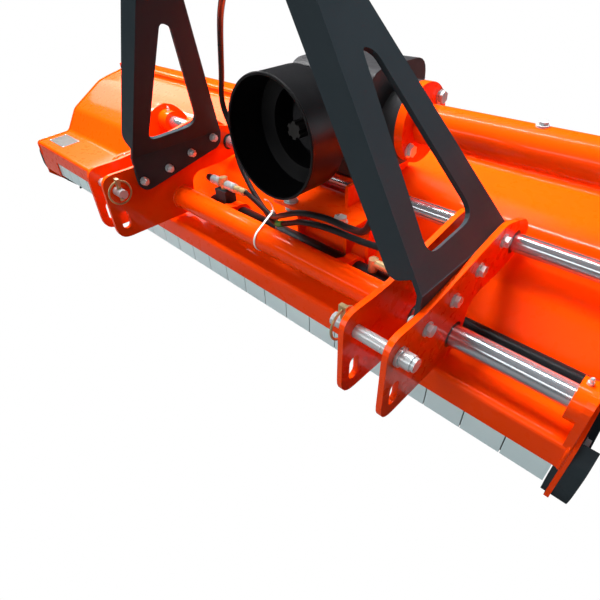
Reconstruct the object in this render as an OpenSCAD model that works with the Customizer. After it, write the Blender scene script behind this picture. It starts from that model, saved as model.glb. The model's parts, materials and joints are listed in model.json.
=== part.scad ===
// Flail mower with a side-shift headstock, in millimetres.
// Working frame: X to the right, Y to the rear, Z up. X 0 is the mast's middle plane,
// and the front slide bar lies on the X axis. place() then moves everything so that
// the origin is on the ground under the middle of the whole machine.

/* [Deck] */
// Width of the deck over its side plates
deck_w = 2086; // [1800:2:2400]
// Thickness of the deck sheet
sheet_t = 5; // [4:0.5:7]
// Thickness of the side plates
side_t = 8; // [6:0.5:10]
// Height of the front slide bar above the ground
bar_z = 310; // [300:1:325]
// Height of the deck's front face
face_h = 54; // [46:1:60]
// Depth of the flat ledge under the front slide bar
ledge_d = 135; // [125:1:145]
// Inside rounding of the sheet's bends
bend_r = 14; // [6:1:20]
// Height of the raised lip in front of the rear hood
lip_h = 16; // [10:1:22]

/* [Flaps] */
// Number of front flaps
flap_n = 27; // [21:3:33]
// Height of a flap below its rod
flap_h = 60; // [40:1:70]
// Thickness of a flap
flap_t = 4; // [3:0.5:5]
// Diameter of the rod that carries the flaps
flap_rod_d = 10; // [8:0.5:12]

/* [Headstock] */
// Distance between the middles of the two hitch plates that carry the mast
hitch_span = 820; // [800:2:840]
// Distance from plate to plate in one hitch bracket
clevis_pitch = 77; // [70:1:84]
// Thickness of a hitch plate
plate_t = 10; // [8:0.5:12]
// Diameter of the lower hitch pins
pin_d = 22; // [20:0.5:28]
// Diameter of the front slide bar
front_bar_d = 40; // [36:1:44]
// Diameter of the rear slide bar
rear_bar_d = 35; // [30:1:38]
// Outer diameter of the sleeve tube round the front bar
sleeve_d = 60; // [56:1:62]
// Travel of the headstock to each side
shift_stroke = 165; // [120:1:168]
// Height of the top link hole above the lower hitch pins
mast_h = 610; // [580:2:640]
// Diameter of the top link hole
top_pin_d = 25.6; // [19:0.1:32]
// Gap between the cheeks for the top link
top_gap = 76; // [60:1:86]
// Thickness of the mast legs
leg_t = 8; // [6:0.5:10]
// Thread diameter of the mast bolts
mast_bolt_d = 12; // [10:1:14]

/* [Cylinder] */
// Outer diameter of the side-shift cylinder
barrel_d = 50; // [48:1:54]
// Bore of the side-shift cylinder
barrel_bore = 40; // [36:1:42]
// Diameter of the cylinder's rod
cyl_rod_d = 30; // [24:1:32]
// Outer diameter of the hoses
hose_d = 13; // [10:0.5:13]

/* [Drive] */
// Outer diameter of the guard round the input shaft
guard_d = 230; // [210:2:236]
// Diameter over the splines of the input shaft
spline_d = 34.9; // [30:0.1:38]
// Outer diameter of the drive tube
tube_d = 76; // [66:1:84]
// Diameter of the cross shaft
cross_d = 35; // [30:1:38]
// Diameter of the upper belt pulley
upper_pulley_d = 190; // [170:2:200]
// Diameter of the lower belt pulley
lower_pulley_d = 150; // [140:2:180]

/* [Rotor and roller] */
// Diameter of the rotor tube
rotor_d = 114; // [100:1:120]
// Hammers in each of the two rows
hammer_n = 10; // [6:1:14]
// Width of a hammer
hammer_w = 60; // [40:1:70]
// Diameter of the rear roller
roller_d = 150; // [130:2:160]

/* [Clearances] */
// Radial clearance of bores that turn or slide on their shaft
run_clear = 0.05; // [0.02:0.01:0.1]
// Gap between pieces that pass each other
pass_gap = 2; // [1:0.5:4]

/* [Hidden] */
// Levels of the deck's folds below and behind the front slide bar
ground = -bar_z;
face_y = -38;
ledge_z = -62;
p_face = [face_y, ledge_z - face_h];
p_ledge = [face_y, ledge_z];
p_root = p_ledge + [ledge_d, 8];
p_riser = p_root + [55, 80];
p_crease = p_riser + [139, 84];
p_lip = p_crease + [110, 24];
hinge_rod_d = 12;
hood_t = 4;
hinge = p_lip + [sheet_t + hinge_rod_d + 4, 10];
hood_line = [hinge + [0, 9], hinge + [126, -8], hinge + [212, -92], hinge + [238, -210], hinge + [242, -258]];
plate_nose_z = -195;
plate_low_z = -262;
rotor = [335, -95];
shaft = [232, 250];
roller = [595, ground + roller_d / 2];

// Headstock planes along X
half = hitch_span / 2 - plate_t / 2;
x_r2 = half;
x_r1 = half - clevis_pitch;
x_l2 = -half - plate_t;
x_l1 = x_l2 - clevis_pitch;
plate_xs = [x_l1, x_l2, x_r1, x_r2];
end_room = 32;
bar_x0 = x_l1 - shift_stroke - end_room;
bar_x1 = x_r2 + plate_t + shift_stroke + end_room;
boss_l = 58;
boss_r = 30;
deck_x1 = bar_x1 + boss_r + side_t;
deck_x0 = deck_x1 - deck_w;
in_x0 = deck_x0 + side_t;
in_x1 = deck_x1 - side_t;
bracket_t = 12;

// Hitch plates
pin = [-173, 79];
slot_h = 48;
rear_bar = [180, 103];
plate_line = [
    [-204, -48], [25, -48], [36, -10], [40, 38], [60, 54], [150, 56], rear_bar + [25, -37],
    rear_bar + [58, -8], rear_bar + [52, 15], rear_bar + [25, 37], [122, 163], [-103, 120], [-204, 120]
];
plate_rs = [25, 16, 12, 14, 14, 20, 14, 12, 12, 14, 20, 30, 22];
front_bush_d = front_bar_d + 10;
rear_bush_d = rear_bar_d + 9;
mast_bolts_at = [[-103, 83], [-28, 93], [45, 112], [120, 132]];

// Mast legs
bend_z = 145;
mast_top_w = 222;
leg_front = -117;
leg_rear = 148;
leg_rake = 0.525;
top_eye = [-100, pin[1] + mast_h];
leg_top_z = top_eye[1] - 42;
leg_flange = 42;
leg_knee_z = bend_z + 0.65 * (leg_top_z - bend_z);
leg_tip = -58;
lean = atan((half - leg_t / 2 - mast_top_w / 2) / (leg_top_z - bend_z));
leg_low = [
    [leg_front, 50], [132, 103], [144, 114], [leg_rear, bend_z - 8], [leg_rear, bend_z], [leg_front, bend_z]
];
cheek_t = 12;
cross_z = top_eye[1] - 112;
pad_s = (cross_z - bend_z) / cos(lean);
pad_bolts = [-30, 37];

// Side-shift cylinder
cyl = [58, -20];
cyl_x0 = -340;
cyl_x1 = x_r1 - 88;
cyl_wall = 12;
gland = 28;
port_xs = [-285, x_r1 - 128];
piston_l = 30;
piston_x = -72;
clamp_xs = [-250, x_r1 - 198];
port_top = 53;

// Drive line
box_x = 105;
box_y = 95;
box_h0 = 110;
box_h1 = 100;
wall = 10;
flange_t = 14;
neck_l = 35;
neck_d = 110;
flange_x = box_x + neck_l;
flange_d = 150;
tube_flange_t = 18;
tube_wall = 5;
plug_x = 388;
flange_bolt_r = 60;
flange_angles = [42:90:312];
guard_y0 = -27;
guard_step_y = 60;
guard_y1 = 127;
guard_small_d = 170;
guard_t = 4;
nose_d = 120;
nose_y = 100;
spline_y = 42;
journal_d = 45;
crown_r = 84;
crown_h = 28;
belt_x = deck_x1 + 32;
belt_w = 10;
belt_h = 9;
belt_gap = 15;
belt_n = 3;
pulley_w = belt_n * belt_gap + 9;
cover_x1 = deck_x1 + 112;
cover_t = 3;
cover_r1 = upper_pulley_d / 2 + 28;
cover_r2 = lower_pulley_d / 2 + 28;

// Rotor
stub_d = 45;
bearing_d = 130;
bearing_t = 22;
hammer_pin_d = 16;
hammer_pin_r = rotor_d / 2 + 20;
hammer_l = 92;
lug_t = 8;
lug_gap = 16;
rotor_x0 = in_x0 + 18;
rotor_x1 = in_x1 - 18;
hammer_pitch = (rotor_x1 - rotor_x0) / (2 * hammer_n);

// Stand that carries the gearbox
stand_x0 = -60;
stand_x1 = 155;
stand_z = 93;
stand_t = 8;
stand_y0 = 28;
stand_pad_z = shaft[1] - box_h0;
stand_bolts = [[-21, 45], [122, 43]];

// Skids
skid_out = 26;
skid_in = 8;
skid_t = 8;
skid_bolts = [[150, -236], [420, -236]];
roller_bolts = [[490, -150], [540, -152]];

// Middle of the whole machine, for the origin
y_front = plate_line[0][0];
y_rear = max(roller[0] + roller_d / 2, hood_line[4][0] + 6);
x_left = deck_x0 - bearing_t - 18;
mid_x = (x_left + cover_x1) / 2;
mid_y = (y_front + y_rear) / 2;

// Paths and outlines
function unit(v) = v / norm(v);
function side_of(p, i) = let (d = unit(p[i + 1] - p[i])) [d[1], -d[0]];
function mitre(p, i, t) =
    let (a = side_of(p, max(i - 1, 0)), b = side_of(p, min(i, len(p) - 2)))
    p[i] + t * (a + b) / (1 + a * b);
function shifted(p, t) = [for (i = [0:len(p) - 1]) mitre(p, i, t)];
function reversed(p) = [for (i = [len(p) - 1:-1:0]) p[i]];
function strip(p, t) = concat(p, reversed(shifted(p, t)));
function bend(a, b, c, r, n = 6) =
    let (
        u = unit(a - b),
        v = unit(c - b),
        k = max(1, 2 * abs(1 + u * v) / max(norm(u - v), 0.01)),
        e = min(r * k, 0.45 * norm(a - b), 0.45 * norm(c - b))
    )
    [for (k = [0:n]) let (t = k / n) (1 - t) * (1 - t) * (b + u * e) + 2 * t * (1 - t) * b + t * t * (b + v * e)];
function softened(p, r) = [
    for (i = [0:len(p) - 1])
        each (i == 0 || i == len(p) - 1) ? [p[i]] : bend(p[i - 1], p[i], p[i + 1], r)
];
function rounded(p, r) = let (n = len(p)) [
    for (i = [0:n - 1])
        each bend(p[(i + n - 1) % n], p[i], p[(i + 1) % n], is_list(r) ? r[i] : r)
];
function arc(c, r, a0, a1, n) = [for (k = [0:n]) let (a = a0 + (a1 - a0) * k / n) c + r * [cos(a), sin(a)]];
function wheel_line(c1, r1, c2, r2) =
    let (d = c2 - c1, a = atan2(d[1], d[0]), w = acos((r1 - r2) / norm(d)))
    concat(arc(c1, r1, a + w, a + 360 - w, 32), arc(c2, r2, a - w, a + w, 32));
function hose_point(p, i, t) =
    let (
        a = p[max(i - 1, 0)],
        b = p[i],
        c = p[i + 1],
        d = p[min(i + 2, len(p) - 1)]
    )
    0.5 * (2 * b + t * (c - a) + t * t * (2 * a - 5 * b + 4 * c - d) + t * t * t * (3 * b - a - 3 * c + d));
function hose_path(p, n) = concat(
    [for (i = [0:len(p) - 2], k = [0:n - 1]) hose_point(p, i, k / n)],
    [p[len(p) - 1]]
);

deck_line = softened([p_face, p_ledge, p_root, p_riser, p_crease, p_lip], bend_r);
deck_fold = softened([p_face, p_ledge, p_root, p_riser, p_crease, p_lip, p_lip + [0, lip_h]], bend_r);
hood_fold = softened(hood_line, 60);
rim = softened(shifted(hood_line, -6), 60);

// Building helpers
module place() {
    translate([-mid_x, -mid_y, bar_z])
        children();
}

module along_x(x0, t) {
    translate([x0, 0, 0])
        rotate([90, 0, 90])
            linear_extrude(t)
                children();
}

module along_y(y0, t) {
    translate([0, y0 + t, 0])
        rotate([90, 0, 0])
            linear_extrude(t)
                children();
}

module rod_x(x0, x1, d, at) {
    translate([x0, at[0], at[1]])
        rotate([0, 90, 0])
            cylinder(d = d, h = x1 - x0, $fn = 48);
}

module rod_y(y0, y1, d, at) {
    translate([at[0], y0, at[1]])
        rotate([-90, 0, 0])
            cylinder(d = d, h = y1 - y0, $fn = 48);
}

module hex_x(x0, x1, flats, at) {
    translate([x0, at[0], at[1]])
        rotate([0, 90, 0])
            cylinder(d = flats / cos(30), h = x1 - x0, $fn = 6);
}

module disc(d, at) {
    translate(at)
        circle(d = d, $fn = 48);
}

// A flange bolt along X: head outside, nut on the far side of the stack
module bolt_x(x, at, d, stack, dir) {
    translate([x, at[0], at[1]])
        rotate([0, dir * 90, 0]) {
            translate([0, 0, -d * 0.2])
                cylinder(d = d * 2.15, h = d * 0.2, $fn = 48);
            translate([0, 0, -d * 0.85])
                cylinder(d = d * 1.5 / cos(30), h = d * 0.85, $fn = 6);
            cylinder(d = d, h = stack + d * 1.1, $fn = 32);
            translate([0, 0, stack])
                cylinder(d = d * 1.75, h = d * 0.2, $fn = 48);
            translate([0, 0, stack])
                cylinder(d = d * 1.5 / cos(30), h = d * 0.85, $fn = 6);
        }
}

module bolt_down(at, z, d, stack) {
    translate([at[0], at[1], z]) {
        cylinder(d = d * 2, h = 3, $fn = 48);
        cylinder(d = d * 1.5 / cos(30), h = 3 + d * 0.6, $fn = 6);
        translate([0, 0, -stack - d * 0.8])
            cylinder(d = d, h = stack + d, $fn = 32);
        translate([0, 0, -stack - d * 0.7])
            cylinder(d = d * 1.5 / cos(30), h = d * 0.7, $fn = 6);
    }
}

module deck_mass() {
    along_x(deck_x0 - 1, deck_w + 2)
        polygon(concat(deck_line, [[p_lip[0], -400], [face_y, -400]]));
}

// A hose swept along hand-placed points, ten sides to a ring
module hose(points, n) {
    p = hose_path(points, n);
    m = len(p);
    s = 10;
    ref = [0.2, 1, 0.15];
    rings = [
        for (i = [0:m - 1])
            let (
                t = unit(p[min(i + 1, m - 1)] - p[max(i - 1, 0)]),
                u = unit(cross(t, ref)),
                v = cross(t, u)
            )
            for (k = [0:s - 1])
                p[i] + hose_d / 2 * (u * cos(360 * k / s) + v * sin(360 * k / s))
    ];
    walls = [
        for (i = [0:m - 2], k = [0:s - 1])
            [i * s + k, i * s + (k + 1) % s, (i + 1) * s + (k + 1) % s, (i + 1) * s + k]
    ];
    caps = [[for (k = [s - 1:-1:0]) k], [for (k = [0:s - 1]) (m - 1) * s + k]];
    polyhedron(points = rings, faces = concat([for (f = walls) reversed(f)], [for (f = caps) reversed(f)]));
}

// Deck
module deck_shell() {
    color("orangered")
        place()
            along_x(in_x0, in_x1 - in_x0)
                polygon(strip(deck_fold, sheet_t));
}

module side_outline() {
    polygon(concat(
        [[face_y, plate_nose_z]],
        deck_line,
        [[p_lip[0], hinge[1] + 12]],
        rim,
        [[roller[0] + 40, -150], [roller[0] + 30, -190], [530, plate_low_z], [60, plate_low_z], [-5, -225]]
    ));
}

module side_holes() {
    disc(flap_rod_d, flap_at);
    disc(hinge_rod_d, hinge);
    disc(stub_d + 12, rotor);
    for (b = concat(skid_bolts, roller_bolts))
        disc(12, b);
}

flap_at = [face_y + sheet_t + 1.5 + flap_rod_d / 2 + flap_t, p_face[1] + 4];

module left_side_plate() {
    color("orangered")
        place()
            along_x(deck_x0, side_t)
                difference() {
                    side_outline();
                    side_holes();
                }
}

module right_side_plate() {
    color("orangered")
        place()
            difference() {
                union() {
                    along_x(in_x1, side_t)
                        side_outline();
                    along_x(in_x1, side_t)
                        polygon(wheel_line(shaft, cover_r1, rotor, cover_r2));
                }
                along_x(in_x1 - 1, side_t + 2)
                    side_holes();
                rod_x(in_x1 - 1, deck_x1 + 1, cross_d + 12, shaft);
            }
}

module skid(x_out, dir, lip_z) {
    x_low = dir > 0 ? x_out - side_t - skid_in : x_out - skid_out;
    skid_w = skid_out + side_t + skid_in;
    slot_x = dir > 0 ? x_out - side_t : x_out;
    line = softened(
        [[-8, -72], [-36, -100], [face_y, -165], [-24, -205], [80, ground], [540, ground], [575, ground + 12]],
        30
    );
    difference() {
        union() {
            along_x(x_low, skid_w)
                polygon(strip(reversed(line), skid_t));
            along_x(dir > 0 ? x_out : x_out - 8, 8)
                polygon([[60, ground + 4], [500, ground + 4], [470, -205], [90, -205]]);
        }
        translate([slot_x, -100, plate_low_z - 2])
            cube([side_t, 800, 400]);
        translate([dir > 0 ? x_low - 1 : slot_x + side_t - 1, -100, lip_z])
            cube([skid_in + 2, 200, 400]);
        along_x(x_low - 1, skid_w + 2)
            for (b = skid_bolts)
                disc(12, b);
    }
}

module left_skid() {
    color("dimgray")
        place()
            skid(deck_x0, -1, -245);
}

module right_skid() {
    color("dimgray")
        place()
            skid(deck_x1, 1, p_face[1] - 2);
}

module flap_rod() {
    color("silver")
        place()
            rod_x(deck_x0, deck_x1, flap_rod_d, flap_at);
}

flap_x0 = in_x0 + skid_in + pass_gap;
flap_x1 = in_x1 - skid_in - pass_gap;
flap_pitch = (flap_x1 - flap_x0) / flap_n;
flap_r = flap_rod_d / 2 + flap_t;

module flaps(first, last) {
    for (i = [first:last])
        along_x(flap_x0 + i * flap_pitch + pass_gap / 2, flap_pitch - pass_gap)
            difference() {
                union() {
                    disc(2 * flap_r, flap_at);
                    translate(flap_at + [-flap_r, -flap_h])
                        square([flap_t, flap_h]);
                }
                disc(flap_rod_d + 2 * run_clear, flap_at);
            }
}

module front_flaps_left() {
    color("lightgray")
        place()
            flaps(0, flap_n / 3 - 1);
}

module front_flaps_middle() {
    color("lightgray")
        place()
            flaps(flap_n / 3, 2 * flap_n / 3 - 1);
}

module front_flaps_right() {
    color("lightgray")
        place()
            flaps(2 * flap_n / 3, flap_n - 1);
}

// Slide bars and their brackets
module front_slide_bar() {
    color("silver")
        place()
            rod_x(bar_x0 - boss_l, in_x1, front_bar_d, [0, 0]);
}

module rear_slide_bar() {
    color("silver")
        place()
            rod_x(bar_x0 - boss_l, in_x1, rear_bar_d, rear_bar);
}

module bracket_outline() {
    polygon(rounded(
        [
            [-36, -110], [260, -110], [260, 96], rear_bar + [40, 36], rear_bar + [0, 50],
            rear_bar + [-36, 40], [100, 113], [82, 81], [48, 38], [-36, 38]
        ],
        [2, 2, 20, 24, 24, 24, 20, 20, 20, 30]
    ));
}

module bar_bracket(x, x_boss, boss) {
    difference() {
        union() {
            along_x(x, bracket_t)
                bracket_outline();
            rod_x(x_boss, x_boss + boss, front_bar_d + 32, [0, 0]);
            rod_x(x_boss, x_boss + boss, rear_bar_d + 27, rear_bar);
        }
        rod_x(x - boss - 1, x + boss + 1, front_bar_d, [0, 0]);
        rod_x(x - boss - 1, x + boss + 1, rear_bar_d, rear_bar);
        rod_x(x - 1, x + bracket_t + 1, cyl_rod_d - 6, cyl);
        deck_mass();
    }
}

module left_bar_bracket() {
    color("orangered")
        place()
            bar_bracket(bar_x0 - boss_l, bar_x0 - boss_l, boss_l);
}

module right_bar_bracket() {
    color("orangered")
        place()
            bar_bracket(in_x1 - bracket_t, bar_x1, boss_r);
}

// Gearbox and drive
module stand_web(x, y0, y1, z1) {
    along_x(x, stand_t)
        polygon([[y0, -120], [y1, -120], [y1, z1], [y0, z1]]);
}

module gearbox_stand() {
    color("orangered")
        place()
            difference() {
                union() {
                    translate([stand_x0, stand_y0, stand_z - stand_t])
                        cube([stand_x1 - stand_x0, 150 - stand_y0, stand_t]);
                    stand_web(stand_x0, 100, 320, stand_z);
                    stand_web(stand_x1 - stand_t, 100, 150, stand_z);
                    stand_web(86, 100, 320, stand_pad_z);
                    stand_web(stand_x0, 140, 320, stand_pad_z);
                    translate([-box_x, shaft[0] - box_y, stand_pad_z - stand_t])
                        cube([2 * box_x, 2 * box_y, stand_t]);
                }
                deck_mass();
                rod_x(stand_x0 - 1, stand_x1 + 1, rear_bar_d + 8, rear_bar);
                for (b = stand_bolts)
                    translate([b[0], b[1], 0])
                        cylinder(d = 16, h = 200, $fn = 32);
                for (x = [-84, 70], y = [-72, 72])
                    translate([x, shaft[0] + y, 100])
                        cylinder(d = 14, h = 100, $fn = 32);
            }
}

module flange_holes() {
    for (a = flange_angles)
        disc(14, shaft + flange_bolt_r * [cos(a), sin(a)]);
}

module gearbox_housing() {
    color("dimgray")
        place()
            difference() {
                union() {
                    translate([-box_x, 0, 0])
                        rotate([90, 0, 90])
                            linear_extrude(2 * box_x)
                                polygon(rounded(
                                    [
                                        shaft + [-box_y, -box_h0], shaft + [box_y, -box_h0],
                                        shaft + [box_y, box_h1], shaft + [-box_y, box_h1]
                                    ],
                                    [6, 6, 30, 30]
                                ));
                    rod_y(nose_y, shaft[0], nose_d, [0, shaft[1]]);
                    rod_x(0, flange_x + 1, neck_d, shaft);
                    rod_x(flange_x, flange_x + flange_t, flange_d, shaft);
                    rod_x(-box_x - 8, 0, 150, shaft);
                }
                translate([-box_x + wall, shaft[0] - box_y + wall, shaft[1] - crown_r - 6])
                    cube([2 * box_x - 2 * wall, 2 * box_y - 2 * wall, 2 * crown_r + 12]);
                rod_y(nose_y - 1, shaft[0], journal_d + 2 * run_clear, [0, shaft[1]]);
                rod_x(0, flange_x + flange_t + 1, cross_d + 2 * run_clear, shaft);
                along_x(flange_x - 1, flange_t + 2)
                    flange_holes();
                for (x = [-84, 70], y = [-72, 72])
                    translate([x, shaft[0] + y, stand_pad_z - 1])
                        cylinder(d = 14, h = 16, $fn = 32);
            }
}

module pto_guard() {
    color("dimgray")
        place()
            translate([0, 0, shaft[1]])
                rotate([-90, 0, 0])
                    rotate_extrude($fn = 96)
                        polygon([
                            [guard_d / 2 - guard_t, guard_y0], [guard_d / 2, guard_y0],
                            [guard_d / 2, guard_step_y], [guard_small_d / 2, guard_step_y + 10],
                            [guard_small_d / 2, guard_y1], [nose_d / 2, guard_y1],
                            [nose_d / 2, guard_y1 - 8], [guard_small_d / 2 - guard_t, guard_y1 - 8],
                            [guard_small_d / 2 - guard_t, guard_step_y + 7], [guard_d / 2 - guard_t, guard_step_y - 3]
                        ]);
}

module pto_input_shaft() {
    color("silver")
        place()
            union() {
                rod_y(spline_y, nose_y - 8, spline_d - 7, [0, shaft[1]]);
                along_y(spline_y, nose_y - 8 - spline_y)
                    for (a = [0:60:300])
                        translate([0, shaft[1]])
                            rotate(a)
                                translate([-4.3, 0])
                                    square([8.6, spline_d / 2]);
                rod_y(nose_y - 8, shaft[0] - 24, journal_d, [0, shaft[1]]);
            }
}

module crown_gear() {
    color("silver")
        place()
            translate([0, shaft[0], shaft[1]])
                rotate([90, 0, 0])
                    rotate_extrude($fn = 64)
                        polygon([
                            [journal_d / 2, 24], [46, 24], [52, crown_h - 9], [crown_r, crown_h + 1],
                            [crown_r, crown_h + 12], [journal_d / 2, crown_h + 22]
                        ]);
}

module pinion_gear() {
    color("silver")
        place()
            translate([0, shaft[0], shaft[1]])
                rotate([0, 90, 0])
                    rotate_extrude($fn = 48)
                        polygon([[cross_d / 2, 59], [18.8, 59], [27, crown_r], [cross_d / 2, crown_r + 8]]);
}

module cross_shaft() {
    color("silver")
        place()
            rod_x(54, belt_x + pulley_w + 8, cross_d, shaft);
}

module drive_tube() {
    color("orangered")
        place()
            difference() {
                union() {
                    rod_x(flange_x + flange_t, in_x1, tube_d, shaft);
                    rod_x(flange_x + flange_t, flange_x + flange_t + tube_flange_t, flange_d, shaft);
                    rod_x(in_x1 - 10, in_x1, tube_d + 40, shaft);
                }
                rod_x(flange_x, in_x1 + 1, tube_d - 2 * tube_wall, shaft);
                along_x(flange_x, 40)
                    flange_holes();
            }
}

module filler_plug() {
    color("gray")
        place()
            difference() {
                translate([plug_x, shaft[0], shaft[1]]) {
                    cylinder(d = 22, h = tube_d / 2 + 2, $fn = 48);
                    cylinder(d = 14 / cos(30), h = tube_d / 2 + 7, $fn = 6);
                }
                rod_x(plug_x - 60, plug_x + 60, tube_d, shaft);
            }
}

module shaft_bearing() {
    color("gray")
        place()
            difference() {
                union() {
                    rod_x(deck_x1, deck_x1 + 12, 120, shaft);
                    rod_x(deck_x1, deck_x1 + bearing_t, 80, shaft);
                }
                rod_x(deck_x1 - 1, deck_x1 + bearing_t + 1, cross_d + 2 * run_clear, shaft);
            }
}

module pulley(at, d, bore) {
    difference() {
        rod_x(belt_x, belt_x + pulley_w, d, at);
        rod_x(belt_x - 1, belt_x + pulley_w + 1, bore, at);
        for (i = [0:belt_n - 1])
            difference() {
                rod_x(groove_x(i) - 0.5, groove_x(i) + belt_w + 0.5, d + 2, at);
                rod_x(groove_x(i) - 1, groove_x(i) + belt_w + 1, d - 2 * belt_h, at);
            }
    }
}

function groove_x(i) = belt_x + 7 + i * belt_gap;

module upper_pulley() {
    color("gray")
        place()
            pulley(shaft, upper_pulley_d, cross_d);
}

module lower_pulley() {
    color("gray")
        place()
            pulley(rotor, lower_pulley_d, stub_d);
}

module drive_belts() {
    low = 0.5 - belt_h;
    color("black")
        place()
            for (i = [0:belt_n - 1])
                along_x(groove_x(i), belt_w)
                    difference() {
                        polygon(wheel_line(shaft, upper_pulley_d / 2, rotor, lower_pulley_d / 2));
                        polygon(wheel_line(shaft, upper_pulley_d / 2 + low, rotor, lower_pulley_d / 2 + low));
                    }
}

module belt_cover() {
    color("orangered")
        place()
            difference() {
                along_x(deck_x1, cover_x1 - deck_x1)
                    polygon(wheel_line(shaft, cover_r1, rotor, cover_r2));
                along_x(deck_x1 - 1, cover_x1 - cover_t - deck_x1 + 1)
                    polygon(wheel_line(shaft, cover_r1 - cover_t, rotor, cover_r2 - cover_t));
            }
}

// Rotor with its hammers
function row_x(row, i) = rotor_x0 + (2 * i + 0.5 + row) * hammer_pitch;
function row_pin(row) = rotor + [0, row == 0 ? -hammer_pin_r : hammer_pin_r];

module rotor_tube() {
    color("dimgray")
        place()
            difference() {
                union() {
                    rod_x(rotor_x0, rotor_x1, rotor_d, rotor);
                    rod_x(deck_x0 - bearing_t - 8, belt_x + pulley_w + 6, stub_d, rotor);
                    for (row = [0, 1], i = [0:hammer_n - 1], s = [-1, 1])
                        along_x(row_x(row, i) + s * (lug_gap + lug_t) / 2 - lug_t / 2, lug_t)
                            lug_outline(row);
                }
                rod_x(rotor_x0 + 20, rotor_x1 - 20, rotor_d - 16, rotor);
                for (row = [0, 1], i = [0:hammer_n - 1])
                    rod_x(row_x(row, i) - 30, row_x(row, i) + 30, hammer_pin_d, row_pin(row));
            }
}

module lug_outline(row) {
    c = row_pin(row);
    s = row == 0 ? 1 : -1;
    disc(36, c);
    translate([c[0] - 18, s > 0 ? c[1] : c[1] - 26])
        square([36, 26]);
}

module hammer_pins() {
    color("silver")
        place()
            for (row = [0, 1], i = [0:hammer_n - 1])
                rod_x(row_x(row, i) - lug_gap / 2 - lug_t - 5, row_x(row, i) + lug_gap / 2 + lug_t + 5,
                    hammer_pin_d, row_pin(row));
}

module hammers(row) {
    c = row_pin(row);
    s = row == 0 ? -1 : 1;
    for (i = [0:hammer_n - 1])
        difference() {
            union() {
                along_x(row_x(row, i) - (lug_gap - 2) / 2, lug_gap - 2) {
                    disc(hammer_pin_d + 14, c);
                    translate([c[0] - 10, s > 0 ? c[1] : c[1] - hammer_l + 20])
                        square([20, hammer_l - 20]);
                }
                along_x(row_x(row, i) - hammer_w / 2, hammer_w)
                    translate([c[0] - 10, s > 0 ? c[1] + hammer_l - 34 : c[1] - hammer_l])
                        square([20, 34]);
            }
            rod_x(row_x(row, i) - 40, row_x(row, i) + 40, hammer_pin_d + 2 * run_clear, c);
        }
}

module hammers_lower_row() {
    color("gray")
        place()
            hammers(0);
}

module hammers_upper_row() {
    color("gray")
        place()
            hammers(1);
}

module left_rotor_bearing() {
    color("dimgray")
        place()
            difference() {
                union() {
                    rod_x(deck_x0 - 12, deck_x0, bearing_d, rotor);
                    rod_x(deck_x0 - bearing_t - 18, deck_x0, 90, rotor);
                }
                rod_x(deck_x0 - bearing_t - 10, deck_x0 + 1, stub_d + 2 * run_clear, rotor);
            }
}

module right_rotor_bearing() {
    color("dimgray")
        place()
            difference() {
                union() {
                    rod_x(deck_x1, deck_x1 + 12, bearing_d, rotor);
                    rod_x(deck_x1, deck_x1 + bearing_t, 90, rotor);
                }
                rod_x(deck_x1 - 1, deck_x1 + bearing_t + 1, stub_d + 2 * run_clear, rotor);
            }
}

// Rear roller and hood
module rear_roller() {
    color("dimgray")
        place()
            difference() {
                union() {
                    rod_x(in_x0 + bracket_t + 6, in_x1 - bracket_t - 6, roller_d, roller);
                    rod_x(in_x0, in_x1, 30, roller);
                }
                rod_x(in_x0 + bracket_t + 26, in_x1 - bracket_t - 26, roller_d - 12, roller);
            }
}

module roller_bracket(x) {
    along_x(x, bracket_t)
        difference() {
            polygon(rounded(
                [[470, -120], [590, -140], roller + [42, 10], roller + [24, -38], roller + [-30, -36], [470, -195]],
                16
            ));
            disc(30 + 2 * run_clear, roller);
            for (b = roller_bolts)
                disc(12, b);
        }
}

module left_roller_bracket() {
    color("orangered")
        place()
            roller_bracket(in_x0);
}

module right_roller_bracket() {
    color("orangered")
        place()
            roller_bracket(in_x1 - bracket_t);
}

module rear_hood() {
    color("orangered")
        place()
            difference() {
                union() {
                    along_x(in_x0 + pass_gap, in_x1 - in_x0 - 2 * pass_gap)
                        polygon(strip(hood_fold, hood_t));
                    rod_x(in_x0 + pass_gap, in_x1 - pass_gap, hinge_rod_d + 10, hinge);
                }
                rod_x(in_x0, in_x1, hinge_rod_d + 2 * run_clear, hinge);
            }
}

module hood_hinge_rod() {
    color("silver")
        place()
            rod_x(deck_x0, deck_x1, hinge_rod_d, hinge);
}

// Bolts on the deck and the drive
module flange_bolt(at) {
    x = flange_x + flange_t + tube_flange_t;
    rod_x(flange_x, x + 4, 14, at);
    rod_x(x, x + 3, 28, at);
    hex_x(x, x + 11, 21, at);
}

module frame_bolts() {
    color("silver")
        place() {
            for (b = skid_bolts) {
                bolt_x(deck_x1 + 8, b, 12, side_t + 8, -1);
                bolt_x(deck_x0 - 8, b, 12, side_t + 8, 1);
            }
            for (b = roller_bolts) {
                bolt_x(deck_x1, b, 12, side_t + bracket_t, -1);
                bolt_x(deck_x0, b, 12, side_t + bracket_t, 1);
            }
            for (a = flange_angles)
                flange_bolt(shaft + flange_bolt_r * [cos(a), sin(a)]);
            for (b = stand_bolts)
                bolt_down(b, stand_z, 16, stand_t);
            for (x = [-84, 70], y = [-72, 72])
                translate([x, shaft[0] + y, stand_pad_z - stand_t]) {
                    cylinder(d = 14, h = stand_t + 14, $fn = 32);
                    translate([0, 0, -9])
                        cylinder(d = 21 / cos(30), h = 9, $fn = 6);
                }
        }
}

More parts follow.
